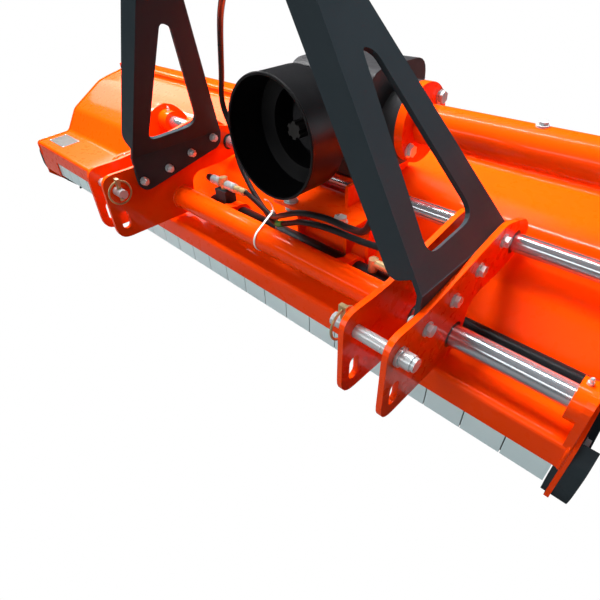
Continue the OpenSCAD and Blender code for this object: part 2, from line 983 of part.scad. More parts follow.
// Headstock
module hitch_plate(x, bolted) {
    along_x(x, plate_t)
        difference() {
            polygon(rounded(plate_line, plate_rs));
            disc(pin_d + 2 * run_clear, pin);
            disc(pin_d, [pin[0] - 1, slot_h / 2 - pin_d / 2]);
            disc(pin_d, [pin[0] - 1, pin_d / 2 - slot_h / 2]);
            translate([pin[0] - 1 - pin_d / 2, pin_d / 2 - slot_h / 2])
                square([pin_d, slot_h - pin_d]);
            disc(front_bush_d, [0, 0]);
            disc(rear_bush_d, rear_bar);
            if (bolted)
                for (b = mast_bolts_at)
                    disc(mast_bolt_d, b);
        }
}

module left_outer_plate() {
    color("orangered")
        place()
            hitch_plate(x_l1, false);
}

module left_inner_plate() {
    color("orangered")
        place()
            hitch_plate(x_l2, true);
}

module right_inner_plate() {
    color("orangered")
        place()
            hitch_plate(x_r1, false);
}

module right_outer_plate() {
    color("orangered")
        place()
            hitch_plate(x_r2, true);
}

module sleeve_tube() {
    color("orangered")
        place()
            difference() {
                union() {
                    rod_x(-half, x_r1, sleeve_d, [0, 0]);
                    for (x = clamp_xs)
                        along_x(x, 26) {
                            disc(barrel_d + 16, cyl);
                            polygon([[2, 27], [cyl[0] - 8, 11], cyl, [0, 0]]);
                            polygon([[0, 0], cyl, [cyl[0] - 12, -51], [6, -29]]);
                        }
                }
                rod_x(x_l1 - 1, x_r2 + plate_t + 1, front_bush_d, [0, 0]);
                rod_x(cyl_x0, cyl_x1, barrel_d, cyl);
            }
}

module slide_bushes() {
    color("black")
        place()
            for (x = plate_xs) {
                bush(x, front_bush_d, front_bar_d, [0, 0]);
                bush(x, rear_bush_d, rear_bar_d, rear_bar);
            }
}

module bush(x, d, bar_d, at) {
    difference() {
        rod_x(x, x + plate_t, d, at);
        rod_x(x - 1, x + plate_t + 1, bar_d + 2 * run_clear, at);
    }
}

module leg_frame(side) {
    translate([side * (half - leg_t / 2), 0, bend_z])
        rotate([0, -side * lean, 0])
            children();
}

function leg_s(z) = (z - bend_z) / cos(lean);
function leg_back(z) = leg_rear - leg_rake * (z - bend_z);

module mast_leg(side) {
    top = leg_s(leg_top_z);
    difference() {
        union() {
            along_x(side * (half - leg_t / 2) - leg_t / 2, leg_t)
                polygon(rounded(leg_low, [20, 14, 14, 6, 0.5, 0.5]));
            translate([side * (half - leg_t / 2), leg_front, bend_z])
                rotate([-90, 0, 0])
                    cylinder(d = leg_t, h = leg_rear - leg_front, $fn = 32);
            leg_frame(side) {
                along_x(-leg_t / 2, leg_t)
                    polygon([
                        [leg_front, 0], [leg_rear, 0], [leg_back(leg_knee_z), leg_s(leg_knee_z)],
                        [leg_tip, top], [leg_front, top]
                    ]);
                along_y(leg_front, leg_t)
                    polygon(rounded(
                        [[leg_t / 2, 26], [leg_t / 2, top], [-leg_flange, top], [-leg_flange, 26]],
                        [0.5, 0.5, 14, 26]
                    ));
            }
        }
        leg_frame(side) {
            along_x(-leg_t, 2 * leg_t)
                polygon(rounded(
                    [[-76, leg_s(180)], [66, leg_s(188)], [-42, leg_s(420)], [-67, leg_s(430)]],
                    [18, 18, 12, 10]
                ));
            for (s = pad_bolts)
                rod_x(-leg_t, leg_t, mast_bolt_d, [top_eye[0] + 22, pad_s + s]);
        }
        along_x(side * half - 20, 40)
            for (b = mast_bolts_at)
                disc(mast_bolt_d, b);
    }
}

module left_mast_leg() {
    color("dimgray")
        place()
            mast_leg(-1);
}

module right_mast_leg() {
    color("dimgray")
        place()
            mast_leg(1);
}

module top_link_bracket() {
    reach = half - leg_t / 2 - (cross_z + 6 - bend_z) * tan(lean) - (leg_t / 2 + 5) / cos(lean);
    color("dimgray")
        place()
            difference() {
                union() {
                    for (side = [-1, 1]) {
                        along_x(side * (top_gap + cheek_t) / 2 - cheek_t / 2, cheek_t)
                            polygon(rounded(
                                [
                                    [top_eye[0] - 3, cross_z + 5], [top_eye[0] + 42, cross_z + 5],
                                    top_eye + [30, 10], top_eye + [16, 34], top_eye + [-20, 34], top_eye + [-34, 6]
                                ],
                                [2, 2, 16, 16, 16, 16]
                            ));
                        leg_frame(side)
                            translate([-side * (leg_t / 2 + 5) - 5, top_eye[0] - 6, pad_s - 50])
                                cube([10, 52, 100]);
                    }
                    translate([0, top_eye[0] - 6, cross_z])
                        linear_extrude(12)
                            polygon([
                                [-reach, 1], [reach, 1], [reach, 50], [90, 50], [90, 98],
                                [-90, 98], [-90, 50], [-reach, 50]
                            ]);
                }
                for (c = [left_coupler, right_coupler])
                    translate([c[0], c[1], cross_z - 1])
                        cylinder(d = coupler_d, h = 20, $fn = 32);
                rod_x(-top_gap, top_gap, top_pin_d, top_eye);
                for (side = [-1, 1])
                    leg_frame(side)
                        for (s = pad_bolts)
                            rod_x(-30, 30, mast_bolt_d, [top_eye[0] + 22, pad_s + s]);
            }
}

module mast_bolts() {
    color("silver")
        place() {
            for (b = mast_bolts_at) {
                bolt_x(half + plate_t, b, mast_bolt_d, plate_t + leg_t, -1);
                bolt_x(-half - plate_t, b, mast_bolt_d, plate_t + leg_t, 1);
            }
            for (side = [-1, 1])
                leg_frame(side)
                    for (s = pad_bolts)
                        bolt_x(side * leg_t / 2, [top_eye[0] + 22, pad_s + s], mast_bolt_d, leg_t + 10, -side);
        }
}

// Lower hitch pins, each with a linch pin and a ring
linch_d = 10;
linch_in = 16;
ring_r = 28;
ring_wire = 4.5;
left_linch_x = -half + linch_in;
right_linch_x = x_r1 - linch_in;

module hitch_pin(x0, x1, x_head, dir, x_linch) {
    difference() {
        union() {
            rod_x(x0, x1, pin_d, pin);
            rod_x(min(x_head, x_head + dir * 5), max(x_head, x_head + dir * 5), pin_d + 10, pin);
            rod_x(min(x_head, x_head + dir * 22), max(x_head, x_head + dir * 22), pin_d + 4, pin);
            rod_x(min(x_head, x_head + dir * 28), max(x_head, x_head + dir * 28), pin_d, pin);
        }
        translate([x_linch, pin[0], 0])
            cylinder(d = linch_d, h = 200, $fn = 32);
    }
}

module left_hitch_pin() {
    color("silver")
        place()
            hitch_pin(x_l1, left_linch_x + 18, x_l1, -1, left_linch_x);
}

module right_hitch_pin() {
    color("silver")
        place()
            hitch_pin(right_linch_x - 18, x_r2 + plate_t, x_r2 + plate_t, 1, right_linch_x);
}

module linch_pins() {
    color("gold")
        place()
            for (x = [left_linch_x, right_linch_x])
                difference() {
                    translate([x, pin[0], pin[1]]) {
                        translate([0, 0, -20])
                            cylinder(d = linch_d, h = 20 + ring_r, $fn = 32);
                        translate([-7, -4, ring_r - 9])
                            cube([14, 8, 16]);
                    }
                    rod_y(pin[0] - 10, pin[0] + 10, ring_wire + 1.6, [x, pin[1] + ring_r]);
                }
}

module linch_ring(x) {
    translate([x, pin[0], pin[1]])
        rotate([0, 90, 0])
            rotate_extrude($fn = 96)
                translate([ring_r, 0])
                    circle(d = ring_wire, $fn = 24);
}

module left_linch_ring() {
    color("gold")
        place()
            linch_ring(left_linch_x);
}

module right_linch_ring() {
    color("gold")
        place()
            linch_ring(right_linch_x);
}

// Side-shift cylinder and hydraulics
module cylinder_barrel() {
    color("dimgray")
        place()
            difference() {
                rod_x(cyl_x0, cyl_x1, barrel_d, cyl);
                rod_x(cyl_x0 + cyl_wall, cyl_x1 - gland, barrel_bore, cyl);
                rod_x(cyl_x1 - gland - 1, cyl_x1 + 1, cyl_rod_d + 2 * run_clear, cyl);
                for (x = port_xs)
                    translate([x, cyl[0], cyl[1]])
                        cylinder(d = 8, h = barrel_d, $fn = 24);
            }
}

module cylinder_rod() {
    color("dimgray")
        place()
            union() {
                rod_x(piston_x, piston_x + piston_l, barrel_bore - 2 * run_clear, cyl);
                rod_x(piston_x, in_x1 - bracket_t, cyl_rod_d, cyl);
                rod_x(in_x1 - bracket_t, in_x1, cyl_rod_d - 6, cyl);
            }
}

// Ends of the two hoses at the fittings
left_end = [port_xs[0] + 64, cyl[0], port_top];
right_end = [port_xs[1] + 40, cyl[0], 24];
coupler_d = 17;
left_coupler = [-74, -24, cross_z - 34];
right_coupler = [74, -24, cross_z - 34];

// The hoses follow the mast: a point beside a leg moves with the hitch span and the mast's height
hose_w = hitch_span / 820;
hose_h = leg_top_z / 647;

function by_leg(x, y, z) = [x * hose_w, y, z * hose_h];

module hose_fittings() {
    color("goldenrod")
        place() {
            difference() {
                union() {
                    translate([port_xs[0], cyl[0], cyl[1]])
                        cylinder(d = 20, h = port_top - cyl[1] + 10, $fn = 32);
                    translate([port_xs[0], cyl[0], port_top + 4])
                        cylinder(d = 19 / cos(30), h = 14, $fn = 6);
                    rod_x(port_xs[0] - 42, left_end[0], 18, [cyl[0], port_top]);
                }
                rod_x(cyl_x0, cyl_x1, barrel_d, cyl);
            }
            difference() {
                union() {
                    translate([port_xs[1], cyl[0], cyl[1]])
                        cylinder(d = 20, h = 24 - cyl[1] + 8, $fn = 32);
                    rod_x(port_xs[1], right_end[0], 17, [cyl[0], 24]);
                }
                rod_x(cyl_x0, cyl_x1, barrel_d, cyl);
            }
            for (c = [left_coupler, right_coupler])
                translate(c) {
                    cylinder(d = coupler_d, h = 50, $fn = 32);
                    translate([0, 0, 46])
                        cylinder(d = coupler_d + 9, h = 46, $fn = 32);
                }
        }
}

module hose_left_port() {
    color("black")
        place()
            hose([
                left_end, left_end + [14, 0, 0], left_end + [30, 0, 0], [-130, 46, 46],
                concat([-70], tie_high), [-20, 17, 70], [40, 12, 98], [110 * hose_w, 10, 112],
                [180 * hose_w, 0, 120], [238 * hose_w, -30, 150], by_leg(276, -62, 220), by_leg(270, -70, 300),
                by_leg(222, -60, 400), by_leg(110, -32, 480),
                right_coupler - [0, 0, 24], right_coupler - [0, 0, 12], right_coupler
            ], 2);
}

module hose_right_port() {
    color("black")
        place()
            hose([
                right_end, right_end + [8, 0, 0], right_end + [16, 0, 0], [x_r1 - 48, 42, 42],
                [x_r1 - 40, 20, 76], [x_r1 - 66, 12, 98], [x_r1 - 128, 12, 94], [115, 13, 90], [40, 18, 74],
                [-20, 26, 46], concat([-70], tie_low), [-140, 60, 36], [-216, 86, 62], [-266, 100, 108],
                by_leg(-284, 104, 176), by_leg(-308, 104, 240), by_leg(-290, 100, 310), by_leg(-216, 60, 420),
                by_leg(-110, 0, 486), left_coupler - [0, 0, 24], left_coupler - [0, 0, 12], left_coupler
            ], 2);
}

module cable_tie() {
    color("white")
        place()
            along_x(-73, 5)
                difference() {
                    polygon(tie_line(1.9));
                    polygon(tie_line(0.4));
                }
}

tie_low = [35, 27];
tie_high = [31, 44];
tie_gap = 1.6;

function tie_line(t) = concat(
    arc([0, 0], sleeve_d / 2 + t, 120, 335, 22),
    arc(tie_low, hose_d / 2 + t + tie_gap, -25, 0, 3),
    arc(tie_high, hose_d / 2 + t + tie_gap, 15, 120, 8)
);

deck_shell();
left_side_plate();
right_side_plate();
left_skid();
right_skid();
flap_rod();
front_flaps_left();
front_flaps_middle();
front_flaps_right();
front_slide_bar();
rear_slide_bar();
left_bar_bracket();
right_bar_bracket();
gearbox_stand();
gearbox_housing();
pto_guard();
pto_input_shaft();
crown_gear();
pinion_gear();
cross_shaft();
drive_tube();
filler_plug();
shaft_bearing();
upper_pulley();
lower_pulley();
drive_belts();
belt_cover();
rotor_tube();
hammer_pins();
hammers_lower_row();
hammers_upper_row();
left_rotor_bearing();
right_rotor_bearing();
rear_roller();
left_roller_bracket();
right_roller_bracket();
rear_hood();
hood_hinge_rod();
frame_bolts();
cylinder_rod();
left_outer_plate();
left_inner_plate();
right_inner_plate();
right_outer_plate();
sleeve_tube();
slide_bushes();
left_mast_leg();
right_mast_leg();
top_link_bracket();
mast_bolts();
left_hitch_pin();
right_hitch_pin();
linch_pins();
left_linch_ring();
right_linch_ring();
cylinder_barrel();
hose_fittings();
hose_left_port();
hose_right_port();
cable_tie();
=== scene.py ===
"""Looks of a flail mower with a side-shift headstock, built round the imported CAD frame.

Sizes are in millimetres in the source's working frame: X to the right, Y to the rear and
Z up, with the mast's middle plane at X 0 and the front slide bar on the X axis.
`to_row` turns them into metres in the row frame.
"""

import json
import logging
from collections.abc import Sequence
from dataclasses import dataclass, field
from enum import Enum
from functools import cache

import bmesh
import bpy
import numpy as np
from mathutils import Matrix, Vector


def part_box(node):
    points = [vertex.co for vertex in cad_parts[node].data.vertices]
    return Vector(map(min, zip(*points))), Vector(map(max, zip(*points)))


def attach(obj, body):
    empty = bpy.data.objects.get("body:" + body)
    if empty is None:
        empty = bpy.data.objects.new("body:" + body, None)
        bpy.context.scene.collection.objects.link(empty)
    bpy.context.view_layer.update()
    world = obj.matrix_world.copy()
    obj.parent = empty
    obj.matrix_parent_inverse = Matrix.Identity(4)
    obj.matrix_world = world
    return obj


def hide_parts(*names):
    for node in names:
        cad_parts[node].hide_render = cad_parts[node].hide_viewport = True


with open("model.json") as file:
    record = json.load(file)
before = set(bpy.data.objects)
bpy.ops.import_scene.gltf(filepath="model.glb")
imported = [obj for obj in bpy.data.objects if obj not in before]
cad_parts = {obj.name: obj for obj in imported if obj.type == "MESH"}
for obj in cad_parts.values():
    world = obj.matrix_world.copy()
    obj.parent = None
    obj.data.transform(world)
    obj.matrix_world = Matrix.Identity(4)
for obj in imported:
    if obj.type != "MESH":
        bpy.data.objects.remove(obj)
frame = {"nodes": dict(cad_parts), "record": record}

LOG = logging.getLogger("mower")
Array = np.ndarray
Colour = tuple[float, float, float]
Point = tuple[float, float, float]
Outline = tuple[tuple[float, float], ...]
SLEEVE_R = 30.0  # radius of the headstock's sleeve tube


class Body(str, Enum):
    """CAD bodies that new pieces ride on."""

    FRAME = "mower_frame"
    HEAD = "headstock"
    FLAPS_LEFT = "flaps_left"
    FLAPS_MIDDLE = "flaps_middle"
    FLAPS_RIGHT = "flaps_right"


class Grain(Enum):
    """Small-scale pattern of a finish: cells per metre and octaves of its noise."""

    PEEL = (260.0, 1.0)
    CAST = (420.0, 4.0)
    DRAWN = (1.0, 4.0)
    SPANGLE = (300.0, 3.0)
    MOULD = (900.0, 2.0)


def find_anchor() -> Array:
    """Finds the working frame's origin in the row frame.

    Returns:
        X of the guard's middle, Y and Z of the front slide bar's axis, in metres.
    """
    bar = np.array(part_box("front_slide_bar"), float)
    guard = np.array(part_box("pto_guard"), float)
    return np.array([guard[:, 0].mean(), bar[:, 1].mean(), bar[:, 2].mean()])


ANCHOR = find_anchor()


def to_row(points: Array | Sequence[float]) -> Array:
    """Turns working-frame millimetres into row-frame metres. Args: points. Returns: the points."""
    return np.asarray(points, float) / 1000.0 + ANCHOR


def node_box(node: str) -> Array:
    """Gives a CAD node's box in the working frame. Args: node. Returns: its two outer corners."""
    return (np.array(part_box(node), float) - ANCHOR) * 1000.0


def flap_slits(flaps: int = 27, gap: float = 0.002) -> tuple[float, float]:
    """Finds the slits between the front flaps, from the row's length, for the painted shade beside them.

    Args:
        flaps: Flaps in the row.
        gap: Width of a slit in metres.

    Returns:
        X of the first slit and the pitch, in metres in the row frame.
    """
    left = np.array(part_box("front_flaps_left"), float)[0, 0]
    right = np.array(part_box("front_flaps_right"), float)[1, 0]
    return float(left - gap / 2), float((right - left + gap) / flaps)


# Shader building


class Sock:
    """A shader socket that does arithmetic, one Math node for each operator."""

    def __init__(self, tree: bpy.types.NodeTree, socket: bpy.types.NodeSocket) -> None:
        """Wraps an output socket. Args: tree, socket."""
        self.tree = tree
        self.socket = socket

    def _math(self, operation: str, first: "Sock | float", second: "Sock | float") -> "Sock":
        """Adds a Math node.

        Args:
            operation: Name of the Math node's operation.
            first: First operand.
            second: Second operand.

        Returns:
            The node's output.
        """
        node = self.tree.nodes.new("ShaderNodeMath")
        node.operation = operation
        for slot, value in zip(node.inputs, (first, second)):
            if isinstance(value, Sock):
                self.tree.links.new(value.socket, slot)
            else:
                slot.default_value = value
        return Sock(self.tree, node.outputs[0])

    def __add__(self, other: "Sock | float") -> "Sock":
        """Adds. Args: other. Returns: the sum."""
        return self._math("ADD", self, other)

    __radd__ = __add__

    def __sub__(self, other: "Sock | float") -> "Sock":
        """Subtracts. Args: other. Returns: the difference."""
        return self._math("SUBTRACT", self, other)

    def __rsub__(self, other: float) -> "Sock":
        """Subtracts from the right. Args: other. Returns: the difference."""
        return self._math("SUBTRACT", other, self)

    def __mul__(self, other: "Sock | float") -> "Sock":
        """Multiplies. Args: other. Returns: the product."""
        return self._math("MULTIPLY", self, other)

    __rmul__ = __mul__

    def __truediv__(self, other: "Sock | float") -> "Sock":
        """Divides. Args: other. Returns: the quotient."""
        return self._math("DIVIDE", self, other)

    def __rtruediv__(self, other: float) -> "Sock":
        """Divides from the right. Args: other. Returns: the quotient."""
        return self._math("DIVIDE", other, self)

    def wrapped(self) -> "Sock":
        """Keeps only the part after the decimal point. Returns: the fraction."""
        return self._math("FRACT", self, 0.0)

    def limited(self, low: float, high: float) -> "Sock":
        """Keeps the value in a range. Args: low, high. Returns: the limited value."""
        return self._math("MINIMUM", self._math("MAXIMUM", self, low), high)


class Shader:
    """One material's or world's node tree under construction."""

    def __init__(self, tree: bpy.types.NodeTree) -> None:
        """Clears the tree that is to be filled. Args: tree."""
        self.tree = tree
        tree.nodes.clear()

    def add(self, kind: str, options: dict[str, object] | None = None, **values: object) -> bpy.types.Node:
        """Adds any node and sets or links its inputs.

        Args:
            kind: Node type name.
            options: Properties set on the node itself.
            **values: Inputs by name, with underscores for spaces.

        Returns:
            The new node.
        """
        node = self.tree.nodes.new(kind)
        for key, value in (options or {}).items():
            setattr(node, key, value)
        for key, value in values.items():
            self.feed(node, key.replace("_", " "), value)
        return node

    def feed(self, node: bpy.types.Node, key: str | int, value: object) -> None:
        """Sets or links one input.

        Args:
            node: Node that has the input.
            key: Input name or number.
            value: A Sock to link, or a constant.
        """
        if isinstance(value, Sock):
            self.tree.links.new(value.socket, node.inputs[key])
        else:
            node.inputs[key].default_value = value

    def out(self, node: bpy.types.Node, key: str | int = 0) -> Sock:
        """Wraps a node's output. Args: node, key (name or number). Returns: the output."""
        return Sock(self.tree, node.outputs[key])

    def noise(self, where: Sock, scale: float, detail: float) -> Sock:
        """Adds noise. Args: where, scale (cells per metre), detail (octaves). Returns: 0 to 1."""
        return self.out(self.add("ShaderNodeTexNoise", Vector=where, Scale=scale, Detail=detail), "Fac")

    def mix(self, factor: Sock, first: Sock | Colour, second: Colour) -> Sock:
        """Mixes two colours.

        Args:
            factor: Share of the second colour.
            first: First colour.
            second: Second colour.

        Returns:
            The mixed colour.
        """
        node = self.add("ShaderNodeMix", {"data_type": "RGBA"})
        self.feed(node, 0, factor)
        self.feed(node, 6, first if isinstance(first, Sock) else (*first, 1.0))
        self.feed(node, 7, (*second, 1.0))
        return self.out(node, 2)

    def to_camera(self, lighting: bpy.types.Node, shown: bpy.types.Node) -> Sock:
        """Shows the camera one shader while another lights the scene.

        Args:
            lighting: Node of the shader that other rays meet.
            shown: Node of the shader that the camera sees.

        Returns:
            The mixed shader.
        """
        seen = self.out(self.add("ShaderNodeLightPath"), "Is Camera Ray")
        both = self.add("ShaderNodeMixShader")
        for key, value in enumerate((seen, self.out(lighting), self.out(shown))):
            self.feed(both, key, value)
        return self.out(both)


@dataclass(frozen=True)
class Finish:
    """A procedural surface finish.

    Two colours are mottled by a broad noise, roughness runs between two values with a finer
    noise, and the grain gives the bump.

    Attributes:
        name: Material name.
        tint: First colour.
        shade: Second colour.
        rough: Least and greatest roughness.
        metal: Metallic share.
        coat: Weight of the clear coat.
        gloss: Level of the mirror reflection under the coat.
        grain: Small-scale pattern.
        bump: Strength of the grain.
        mottle: Patches per metre.
        slot: Record slot, if it isn't the name.
        gap_shade: X of the first slit and the pitch in metres, if shade is painted beside slits.
        gap_shade_from: Squared place between two slits where the painted shade starts.
        gap_shade_rise: Steepness of the painted shade.
        gap_shade_most: Its greatest share.
        gap_shade_colour: Colour of the painted shade beside a slit.
    """

    name: str
    tint: Colour
    shade: Colour
    rough: tuple[float, float]
    metal: float = 0.0
    coat: float = 0.0
    gloss: float = 0.5
    grain: Grain = Grain.PEEL
    bump: float = 0.05
    mottle: float = 5.0
    slot: str = ""
    gap_shade: tuple[float, float] | None = None
    gap_shade_from: float = 0.93
    gap_shade_rise: float = 20.0
    gap_shade_most: float = 0.9
    gap_shade_colour: Colour = (0.02, 0.025, 0.03)

    def record_slot(self) -> str:
        """Gives the record slot that the finish is for. Returns: its name."""
        return self.slot or self.name

    def colour(self, shader: Shader, where: Sock, mottling: Sock) -> Sock:
        """Mixes the two colours, and paints shade beside each slit where the finish has slits along x.

        With f the place between two slits from 0 to 1, (2f - 1) squared is 1 on a slit, and only
        its last few hundredths get the painted shade, which stands for the shadow in the slit.

        Args:
            shader: Tree under construction.
            where: Object coordinates.
            mottling: Share of the second colour.

        Returns:
            The base colour.
        """
        base = shader.mix(mottling, self.tint, self.shade)
        if self.gap_shade is None:
            return base
        start, pitch = self.gap_shade
        # Painted shade: the sheet is darkened beside each slit between the flaps, for the shadow in the
        # gap.
        x = shader.out(shader.add("ShaderNodeSeparateXYZ", Vector=where), "X")
        place = ((x - start) / pitch).wrapped() * 2.0 - 1.0
        dark = ((place * place - self.gap_shade_from) * self.gap_shade_rise).limited(0.0, self.gap_shade_most)
        return shader.mix(dark, base, self.gap_shade_colour)

    def pattern(self, shader: Shader, where: Sock) -> Sock:
        """Builds the grain's height.

        Args:
            shader: Tree under construction.
            where: Object coordinates.

        Returns:
            Height between 0 and 1.
        """
        scale, detail = self.grain.value
        if self.grain is Grain.DRAWN:
            stretch = shader.add("ShaderNodeMapping", Vector=where, Scale=(4.0, 700.0, 700.0))
            return shader.noise(shader.out(stretch), scale, detail)
        noise = shader.noise(where, scale, detail)
        if self.grain is Grain.SPANGLE:
            cells = shader.add("ShaderNodeTexVoronoi", Vector=where, Scale=90.0)
            return shader.out(cells, "Distance") * 0.6 + noise * 0.4
        return noise

    @cache
    def material(self) -> bpy.types.Material:
        """Builds the material, once for each finish.

        Returns:
            The material with this finish.
        """
        material = bpy.data.materials.new(self.name)
        material.use_nodes = True
        shader = Shader(material.node_tree)
        where = shader.out(shader.add("ShaderNodeTexCoord"), "Object")
        broad = (shader.noise(where, self.mottle, 4.0) * 2.2 - 0.6).limited(0.0, 1.0)
        fine = (shader.noise(where, self.mottle * 9.0, 5.0) * 1.8 - 0.4).limited(0.0, 1.0)
        height = self.pattern(shader, where)
        bump = shader.add("ShaderNodeBump", Strength=self.bump, Distance=0.001, Height=height)
        surface = shader.add(
            "ShaderNodeBsdfPrincipled",
            Base_Color=self.colour(shader, where, broad * 0.7 + fine * 0.3),
            Roughness=fine * (self.rough[1] - self.rough[0]) + self.rough[0],
            Metallic=self.metal,
            Specular_IOR_Level=self.gloss,
            Coat_Weight=self.coat,
            Coat_Roughness=0.06,
            Normal=shader.out(bump, "Normal"),
        )
        shader.add("ShaderNodeOutputMaterial", Surface=shader.out(surface))
        return material

    def paint(self, obj: bpy.types.Object) -> None:
        """Gives an object this finish only. Args: obj."""
        obj.data.materials.clear()
        obj.data.materials.append(self.material())


ORANGE = Finish(
    "orange_paint", (0.93, 0.060, 0.0005), (0.88, 0.052, 0.0004), (0.24, 0.34),
    coat=0.4, gloss=0.05, bump=0.003,
)
BLACK = Finish(
    "black_paint", (0.024, 0.034, 0.040), (0.031, 0.042, 0.049), (0.40, 0.52),
    gloss=0.10, bump=0.04,
)
CASTING = Finish(
    "black_casting", (0.012, 0.012, 0.013), (0.022, 0.022, 0.024), (0.45, 0.62),
    grain=Grain.CAST, bump=0.25,
)
ZINC = Finish(
    "zinc_steel", (0.72, 0.77, 0.79), (0.62, 0.68, 0.70), (0.24, 0.36),
    metal=0.66, grain=Grain.SPANGLE, bump=0.04,
)
# Flap sheet: pale zinc, with painted shade beside the slits between the flaps.
SHEET = Finish(
    "zinc_sheet", (0.80, 0.98, 1.0), (0.70, 0.87, 0.90), (0.34, 0.48),
    metal=0.15, grain=Grain.SPANGLE, bump=0.03, gap_shade=flap_slits(),
)
STEEL = Finish(
    "machined_steel", (0.44, 0.44, 0.45), (0.34, 0.34, 0.35), (0.26, 0.42),
    metal=1.0, grain=Grain.DRAWN, bump=0.06,
)
DARK_STEEL = Finish(
    "dark_steel", (0.050, 0.048, 0.046), (0.030, 0.029, 0.028), (0.30, 0.48),
    metal=0.6, grain=Grain.DRAWN, bump=0.06,
)
CHROME = Finish(
    "chrome_bar", (0.70, 0.75, 0.80), (0.64, 0.69, 0.74), (0.18, 0.23),
    metal=0.88, grain=Grain.DRAWN, bump=0.002,
)
YELLOW_ZINC = Finish(
    "yellow_zinc", (0.60, 0.48, 0.26), (0.50, 0.38, 0.18), (0.26, 0.40),
    metal=0.75, grain=Grain.MOULD, bump=0.04,
)
BRASS = Finish(
    "plated_fitting", (0.66, 0.50, 0.26), (0.54, 0.40, 0.20), (0.26, 0.38),
    metal=0.65, grain=Grain.MOULD, bump=0.05, slot="brass_fitting",
)
RUBBER = Finish(
    "black_rubber", (0.004, 0.004, 0.0045), (0.008, 0.008, 0.0085), (0.30, 0.42),
    gloss=0.35, grain=Grain.MOULD, bump=0.08,
)
GUARD = Finish(
    "black_plastic", (0.003, 0.003, 0.0035), (0.006, 0.006, 0.0065), (0.30, 0.42),
    gloss=0.3, grain=Grain.MOULD, bump=0.06,
)
ENAMEL = Finish(
    "black_enamel", (0.005, 0.006, 0.007), (0.008, 0.009, 0.010), (0.28, 0.40),
    gloss=0.2, grain=Grain.MOULD, bump=0.04,
)
GREY = Finish(
    "grey_plastic", (0.40, 0.42, 0.44), (0.32, 0.34, 0.36), (0.40, 0.55),
    grain=Grain.MOULD, bump=0.08,
)
WHITE = Finish(
    "white_plastic", (0.80, 0.80, 0.77), (0.72, 0.71, 0.67), (0.35, 0.50),
    grain=Grain.MOULD, bump=0.05,
)
GREEN = Finish(
    "green_sleeve", (0.02, 0.26, 0.06), (0.015, 0.19, 0.04), (0.40, 0.55),
    grain=Grain.MOULD, bump=0.08, slot="white_plastic",
)
PLATE = Finish(
    "plain_plate", (0.100, 0.098, 0.092), (0.075, 0.074, 0.070), (0.44, 0.56),
    metal=0.1, gloss=0.15, grain=Grain.DRAWN, bump=0.04, slot="zinc_steel",
)


# Surfaces


def unit(vectors: Array) -> Array:
    """Scales vectors along the last axis to length one. Args: vectors. Returns: unit vectors."""
    return vectors / np.maximum(np.linalg.norm(vectors, axis=-1, keepdims=True), 1e-12)


def fillet(points: Sequence[Sequence[float]], reach: Sequence[float], count: int = 10) -> Array:
    """Rounds the inner corners of an open path.

    Each corner becomes a quadratic curve: the start, corner and end points weighted by
    (1-t) squared, 2t(1-t) and t squared.

    Args:
        points: Corner points.
        reach: Distance from each inner corner to where its curve starts.
        count: Points on each curve.

    Returns:
        The rounded path.
    """
    p = np.asarray(points, float)
    t = np.linspace(0.0, 1.0, count)[None, :, None]
    corner = p[1:-1, None]
    r = np.asarray(reach, float)[:, None, None]
    first = corner + r * unit(p[:-2] - p[1:-1])[:, None]
    last = corner + r * unit(p[2:] - p[1:-1])[:, None]
    arcs = (1 - t) ** 2 * first + 2 * t * (1 - t) * corner + t**2 * last
    return np.concatenate([p[:1], arcs.reshape(-1, p.shape[1]), p[-1:]])


def offset_path(path: Array, distance: float) -> Array:
    """Moves a flat path sideways, to the right of its direction.

    Each point moves along the sum of its two segments' side vectors, divided by one plus
    their dot product, so that both segments keep the distance.

    Args:
        path: Points, two coordinates each.
        distance: Sideways distance.

    Returns:
        The moved path.
    """
    step = unit(np.diff(path, axis=0))
    side = np.stack([step[:, 1], -step[:, 0]], 1)
    before = np.concatenate([side[:1], side])
    after = np.concatenate([side, side[-1:]])
    scale = 1 + (before * after).sum(1, keepdims=True)
    return path + distance * (before + after) / scale


def smooth_path(points: Sequence[Sequence[float]], count: int) -> Array:
    """Runs a smooth curve through points.

    Each span is a Catmull-Rom cubic: half of 2b + t(c-a) + t squared (2a-5b+4c-d) +
    t cubed (3b-a-3c+d).

    Args:
        points: Points that the curve passes.
        count: Steps in each span.

    Returns:
        Points on the curve.
    """
    p = np.asarray(points, float)
    a, b = np.concatenate([p[:1], p[:-2]])[:, None], p[:-1, None]
    c, d = p[1:, None], np.concatenate([p[2:], p[-1:]])[:, None]
    t = (np.arange(count) / count)[None, :, None]
    bend = t**2 * (2 * a - 5 * b + 4 * c - d) + t**3 * (3 * b - a - 3 * c + d)
    span = 0.5 * (2 * b + t * (c - a) + bend)
    return np.concatenate([span.reshape(-1, 3), p[-1:]])


def place(name: str, data: bpy.types.ID) -> bpy.types.Object:
    """Puts a new object in the scene.

    Args:
        name: Its name.
        data: Its mesh, light or camera.

    Returns:
        The object, at the origin.
    """
    obj = bpy.data.objects.new(name, data)
    bpy.context.scene.collection.objects.link(obj)
    return obj


